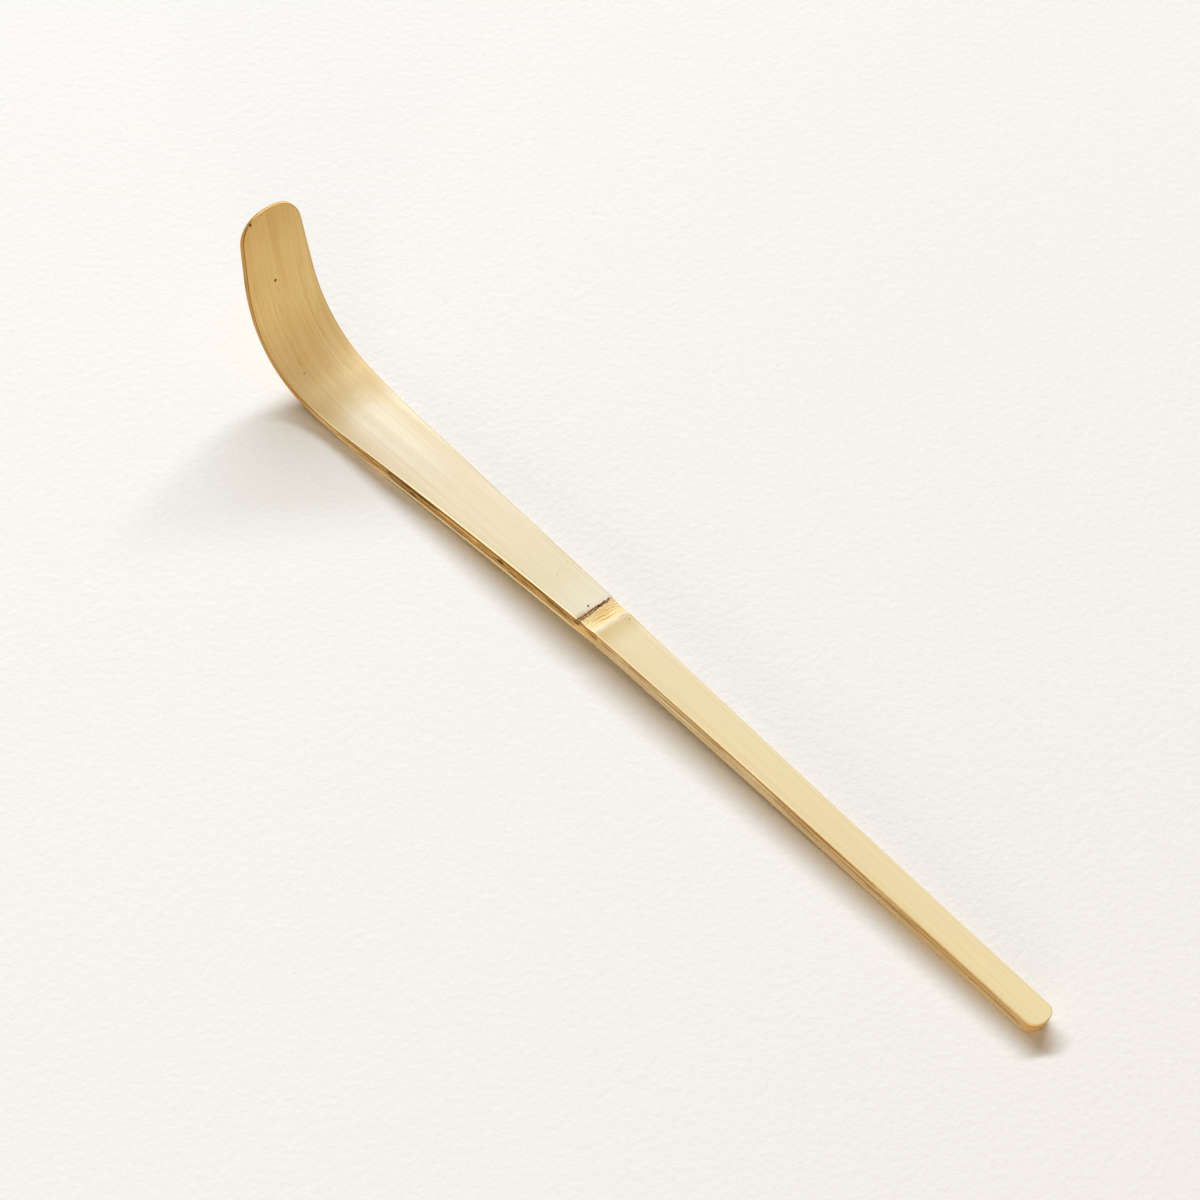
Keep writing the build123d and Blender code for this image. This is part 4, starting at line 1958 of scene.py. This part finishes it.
@dataclass
class SubAssembly:
    """Stretch of the slip that is cut and bent as a few layers."""

    workshop: Workshop
    finishes: Finishes
    relief_grain: Triple = (0.035, 0.0, 3.4)
    relief_seed: Triple = (0.0, 0.0, 4.0)
    skin_rows: int = 8
    inner_rows: int = 7
    wall_rows: int = 18
    fibre_depths: Run = (0.45, 2.1)
    blanks: dict[str, bpy.types.Mesh] = field(default_factory=dict)

    @property
    def slip(self) -> Slip:
        """Sizes of the slip."""
        return self.workshop.slip

    def lay(self, stations: Stations, jobs: list[LayerJob]) -> None:
        """Cuts, bends and hands over layers, and keeps a copy of each flat blank.

        Args:
            stations: places of the layers' rings.
            jobs: the layers.
        """
        shop = self.workshop
        for job in jobs:
            piece = shop.blank(stations, job)
            self.blanks[job.node] = piece.data.copy()
            shop.run(piece, shop.trees.layer, {
                "Relief": job.relief * MM,
                "Grain": self.relief_grain,
                "Seed": self.relief_seed,
                "Finish": job.finish,
            })
            shop.deliver(piece, job.slot, job.node)

    def strew(self, stem: str, node: str, fibres: FibreSet, reach: Run, finish: Material, seed: int) -> None:
        """Lays loose fibres along both cut sides of a layer.

        Args:
            stem: start of the pieces' names.
            node: layer that the fibres lie on.
            fibres: the fibres of one side.
            reach: first and last place along the slip.
            finish: finish of the fibres.
            seed: seed of their places, which is one less on the near side and one more on the far side.
        """
        shop = self.workshop
        shallow, deep = self.fibre_depths
        low, high = (reach[0], 0.0, -deep), (reach[1], 0.0, -shallow)
        for side in Side:
            cast = (0.0, -float(side.value), 0.0)
            values = fibres.values(low, high, cast, finish, seed + side.value)
            name = f"{stem}_fibres_{side.name.lower()}"
            shop.deliver(shop.on_blank(name, self.blanks[node], shop.trees.strands, values), "culm_wall")


@dataclass
class Handle(SubAssembly):
    """Handle of the scoop, from the butt to the node."""

    pitch: float = 0.6
    skin_columns: int = 16
    wall_columns: int = 8
    inner_columns: int = 14
    wall_relief: float = 0.08
    inner_relief: float = 0.03
    fibres: FibreSet = FibreSet(48)
    fibre_start: float = 6.0
    fibre_gap: float = 2.0
    fibre_seed: int = 11

    def build(self) -> None:
        """Builds the three layers of the handle and the fibres on its sides."""
        slip, fin = self.slip, self.finishes
        stations = slip.stations(0, slip.node_start, self.pitch)
        face = np.zeros_like(stations.along)
        skin = face + slip.skin_thickness
        inner = slip.inner_top(stations.along)
        back = slip.thickness(stations.along)
        self.lay(stations, [
            LayerJob("handle_skin", "bamboo_skin", face, skin, fin.skin, self.skin_columns, self.skin_rows),
            LayerJob("handle_wall", "culm_wall", skin, inner, fin.handle_wall, self.wall_columns,
                     self.wall_rows, self.wall_relief, HANDLE_CLEFTS),
            LayerJob("handle_inner_layer", "inner_layer", inner, back, fin.lining, self.inner_columns,
                     self.inner_rows, self.inner_relief),
        ])
        reach = (self.fibre_start, slip.node_start - self.fibre_gap)
        self.strew("handle", "handle_wall", self.fibres, reach, fin.handle_wall, self.fibre_seed)


@dataclass
class Scoop(SubAssembly):
    """Shank, bend and blade, from the node to the tip."""

    pitch: float = 0.5
    skin_columns: int = 24
    wall_columns: int = 20
    inner_columns: int = 20
    wall_relief: float = 0.12
    inner_relief: float = 0.02
    fibres: FibreSet = FibreSet(70)
    fibre_gap: float = 1.5
    fibre_seed: int = 31

    def build(self) -> None:
        """Builds the three layers of the scoop and the fibres on its sides."""
        slip, fin = self.slip, self.finishes
        whole = slip.stations(slip.node_end, slip.length, self.pitch)
        face = np.zeros_like(whole.along)
        skin = face + slip.skin_thickness
        inner = slip.inner_top(whole.along)
        self.lay(whole, [
            LayerJob("scoop_skin", "bamboo_skin", face, skin, fin.skin, self.skin_columns, self.skin_rows),
            LayerJob("scoop_wall", "culm_wall", skin, inner, fin.scoop_wall, self.wall_columns,
                     self.wall_rows, self.wall_relief, SHANK_CLEFTS),
        ])
        shank = slip.stations(slip.node_end, slip.heel, self.pitch)
        inner, back = slip.inner_top(shank.along), slip.thickness(shank.along)
        self.lay(shank, [
            LayerJob("scoop_inner_layer", "inner_layer", inner, back, fin.lining, self.inner_columns,
                     self.inner_rows, self.inner_relief),
        ])
        reach = (slip.node_end + self.fibre_gap, slip.heel)
        self.strew("scoop", "scoop_wall", self.fibres, reach, fin.scoop_wall, self.fibre_seed)


@dataclass
class Node(SubAssembly):
    """Node of the culm: the sheath's scar, the band of cross fibres, the ridge and the core under them."""

    relief_grain: Triple = (0.2, 0.0, 2.6)
    pitch: float = 0.1
    top_columns: int = 16
    core_columns: int = 12
    core_rows: int = 16
    core_relief: float = 0.1
    rows: tuple[GrainRow, ...] = (
        GrainRow("scar_grains_upper", 0.2, (-3.4, 2.95), 0.1, (0.18, 0.3, 0.1), 5),
        GrainRow("scar_grains_far", 0.16, (0.4, 2.95), 0.14, (0.26, 0.36, 0.12), 8),
        GrainRow("scar_grains_lower", -0.19, (-3.45, 2.5), 0.11, (0.16, 0.28, 0.09), 6),
        GrainRow("scar_pith", 0.01, (-2.3, 1.5), 0.3, (0.13, 0.14, 0.1), 7, GrainShade.PALE, 0.12),
    )
    cross_fibres: FibreSet = FibreSet(
        42, run=(0.0, 1.0, 0.0), shortest=1.2, longest=3.2, wave=(0.9, 0.0, 0.0), waves_in_metre=450.0,
        sink=0.015, thickness=0.08,
    )
    cross_gaps: Run = (0.2, 0.1)
    cross_half: float = 2.6
    cross_seed: int = 3

    def build(self) -> None:
        """Builds the node's pieces and the grains and fibres on them."""
        slip, fin = self.slip, self.finishes
        spans = [
            ("node_ridge", "node_ridge", slip.node_start, slip.ridge_start, fin.ridge),
            ("node_band", "node_fibre", slip.ridge_start, slip.scar_start, fin.band),
            ("sheath_scar", "sheath_scar", slip.scar_start, slip.node_end, fin.scar),
        ]
        for node, slot, start, end, finish in spans:
            part = slip.stations(start, end, self.pitch)
            top, seat = slip.surface(part.along), np.full_like(part.along, slip.seat_depth)
            self.lay(part, [LayerJob(node, slot, top, seat, finish, self.top_columns, self.skin_rows)])
        whole = slip.stations(slip.node_start, slip.node_end, self.pitch)
        seat, back = np.full_like(whole.along, slip.seat_depth), slip.thickness(whole.along)
        self.lay(whole, [
            LayerJob("node_core", "culm_wall", seat, back, fin.node_core, self.core_columns, self.core_rows,
                     self.core_relief, SHANK_CLEFTS, slip.inner_thickness),
        ])
        self._scar_grains()
        self._band_fibres()

    def _scar_grains(self) -> None:
        """Sets the scar's ragged dark lines, bolder towards the far side, with pale pith between them."""
        shop = self.workshop
        line = self.slip.handle_length + self.slip.scar_line
        for row in self.rows:
            values = row.values(line, getattr(self.finishes, row.shade.value))
            piece = shop.on_blank(row.name, self.blanks["sheath_scar"], shop.trees.grains, values)
            shop.deliver(piece, "sheath_scar")

    def _band_fibres(self) -> None:
        """Lays wavy cross fibres on the floor of the groove."""
        slip, shop = self.slip, self.workshop
        low = (slip.ridge_start + self.cross_gaps[0], -self.cross_half, 0.0)
        high = (slip.scar_start - self.cross_gaps[1], self.cross_half, 0.0)
        values = self.cross_fibres.values(low, high, (0.0, 0.0, -1.0), self.finishes.band, self.cross_seed)
        piece = shop.on_blank("node_band_fibres", self.blanks["node_band"], shop.trees.strands, values)
        shop.deliver(piece, "node_fibre")


@dataclass(frozen=True)
class Lamp:
    """Soft lamp that faces the scoop: its place and size in metres, its strength and its colour."""

    name: str
    place: Triple
    size: Run
    energy: float
    colour: Triple

    def build(self) -> None:
        """Hangs the lamp."""
        data = bpy.data.lights.new(self.name, "AREA")
        data.shape = "RECTANGLE"
        data.size, data.size_y = self.size
        data.energy = self.energy
        data.color = self.colour
        light = bpy.data.objects.new(self.name, data)
        light.location = self.place
        light.rotation_euler = Vector(self.place).to_track_quat("Z", "Y").to_euler()
        bpy.context.scene.collection.objects.link(light)


@dataclass(frozen=True)
class Floor:
    """Pale paper under the scoop, with a faint tooth and a painted light falloff that makes it slightly
    darker towards the camera's right; sizes are in metres.
    """

    size: float = 3.0
    drop: float = 2e-5
    # Painted light falloff: the paper turns slightly darker towards the camera's right.
    tones: tuple[Colour, Colour] = (tone(243, 240, 234), tone(241, 236, 229))
    light_falloff_way: Triple = (0.64, 0.77, 0.0)
    light_falloff_run: Ease = Ease(-0.09, 0.09)
    tooth_waves: float = 800.0
    tooth_noise: tuple[float, float] = (4.0, 0.6)
    tooth_strength: float = 0.4
    tooth_height: float = 0.0003
    roughness: float = 0.9

    def build(self) -> None:
        """Lays the floor."""
        half = self.size / 2
        plan = ((-half, -half), (half, -half), (half, half), (-half, half))
        corners = [(x, y, -self.drop) for x, y in plan]
        mesh = bpy.data.meshes.new("floor")
        mesh.from_pydata(corners, [], [(0, 1, 2, 3)])
        mesh.materials.append(self._paper())
        floor = bpy.data.objects.new("floor", mesh)
        bpy.context.scene.collection.objects.link(floor)

    def _paper(self) -> Material:
        """Makes the floor's paper.

        Returns:
            The material.
        """
        material = bpy.data.materials.new("floor_paper")
        material.use_nodes = True
        sheet = NodeSheet(material.node_tree)
        spot = sheet.add("ShaderNodeTexCoord").outputs["Object"]
        tooth = sheet.noise(sheet.scaled(spot, self.tooth_waves), *self.tooth_noise)
        feeds = {"Height": tooth, "Strength": self.tooth_strength, "Distance": self.tooth_height}
        bumped = sheet.add("ShaderNodeBump", feeds).outputs[0]
        # Painted light falloff across the paper.
        way = sheet.add("ShaderNodeVectorMath", {0: spot, 1: self.light_falloff_way}, operation="DOT_PRODUCT")
        share = sheet.eased(way.outputs["Value"], self.light_falloff_run)
        feeds = {"Base Color": sheet.blend(share, *self.tones), "Roughness": self.roughness, "Normal": bumped}
        shader = sheet.add("ShaderNodeBsdfPrincipled", feeds)
        sheet.add("ShaderNodeOutputMaterial", {0: shader.outputs[0]})
        return material


@dataclass(frozen=True)
class Studio:
    """Pale floor, soft light and the camera."""

    floor: Floor = Floor()
    key: Lamp = Lamp("key", (-3.33, 2.07, 2.76), (5.5, 0.6), 396.0, (0.762, 0.866, 1.0))
    fill: Lamp = Lamp("fill", (1.15, -1.09, 0.26), (1.2, 0.4), 11.5, (1.0, 0.9, 0.76))
    sky: float = 0.32
    sky_colour: Colour = (1.0, 0.77, 0.47, 1.0)
    backdrop: Colour = tone(250, 247, 242)
    elevation: float = 48.734
    azimuth: float = 50.056
    distance: float = 706.67
    lens: float = 140.0
    film: float = 36.0
    nearest: float = 0.01
    target: Triple = (-0.967, 1.626, 4.117)

    def build(self, slip: Slip) -> None:
        """Builds the studio round the scoop.

        Args:
            slip: sizes of the slip.
        """
        self.floor.build()
        self.key.build()
        self.fill.build()
        self._world()
        self._camera(slip)
        bpy.context.scene.view_settings.view_transform = "Standard"

    def _world(self) -> None:
        """Lights the scoop with a dim warm sky, and shows the camera and reflections a pale backdrop."""
        world = bpy.data.worlds.new("studio")
        bpy.context.scene.world = world
        world.use_nodes = True
        sheet = NodeSheet(world.node_tree)
        sky = sheet.add("ShaderNodeBackground", {"Color": self.sky_colour, "Strength": self.sky})
        wall = sheet.add("ShaderNodeBackground", {"Color": self.backdrop, "Strength": 1.0})
        path = sheet.add("ShaderNodeLightPath").outputs
        seen = sheet.calc("MAXIMUM", path["Is Camera Ray"], path["Is Glossy Ray"])
        seen = sheet.calc("MAXIMUM", seen, path["Is Transmission Ray"])
        both = sheet.add("ShaderNodeMixShader", {0: seen, 1: sky.outputs[0], 2: wall.outputs[0]})
        sheet.add("ShaderNodeOutputWorld", {0: both.outputs[0]})

    def _camera(self, slip: Slip) -> None:
        """Sets the camera at the photograph's angle and distance.

        Args:
            slip: sizes of the slip.
        """
        rise, turn = math.radians(self.elevation), math.radians(self.azimuth)
        back = Vector((math.sin(turn) * math.cos(rise), -math.cos(turn) * math.cos(rise), math.sin(rise)))
        right = Vector((math.cos(turn), math.sin(turn), 0.0))
        up = back.cross(right)
        target = Vector((self.target[0] + slip.shift, *self.target[1:]))
        data = bpy.data.cameras.new("camera")
        data.lens = self.lens
        data.sensor_width = self.film
        data.clip_start = self.nearest
        camera = bpy.data.objects.new("camera", data)
        turned = Matrix((right, up, back)).transposed().to_4x4()
        camera.matrix_world = Matrix.Translation((target + back * self.distance) * MM) @ turned
        bpy.context.scene.collection.objects.link(camera)
        bpy.context.scene.camera = camera


def main() -> None:
    """Builds the scoop piece by piece, then the studio."""
    logging.basicConfig(level=logging.INFO, format="%(message)s")
    slip = Slip()
    workshop = Workshop(slip)
    finishes = Finishes.make(slip)
    for assembly in (Handle, Node, Scoop):
        assembly(workshop, finishes).build()
    workshop.tidy()
    Studio().build(slip)


if __name__ == "__main__":
    main()
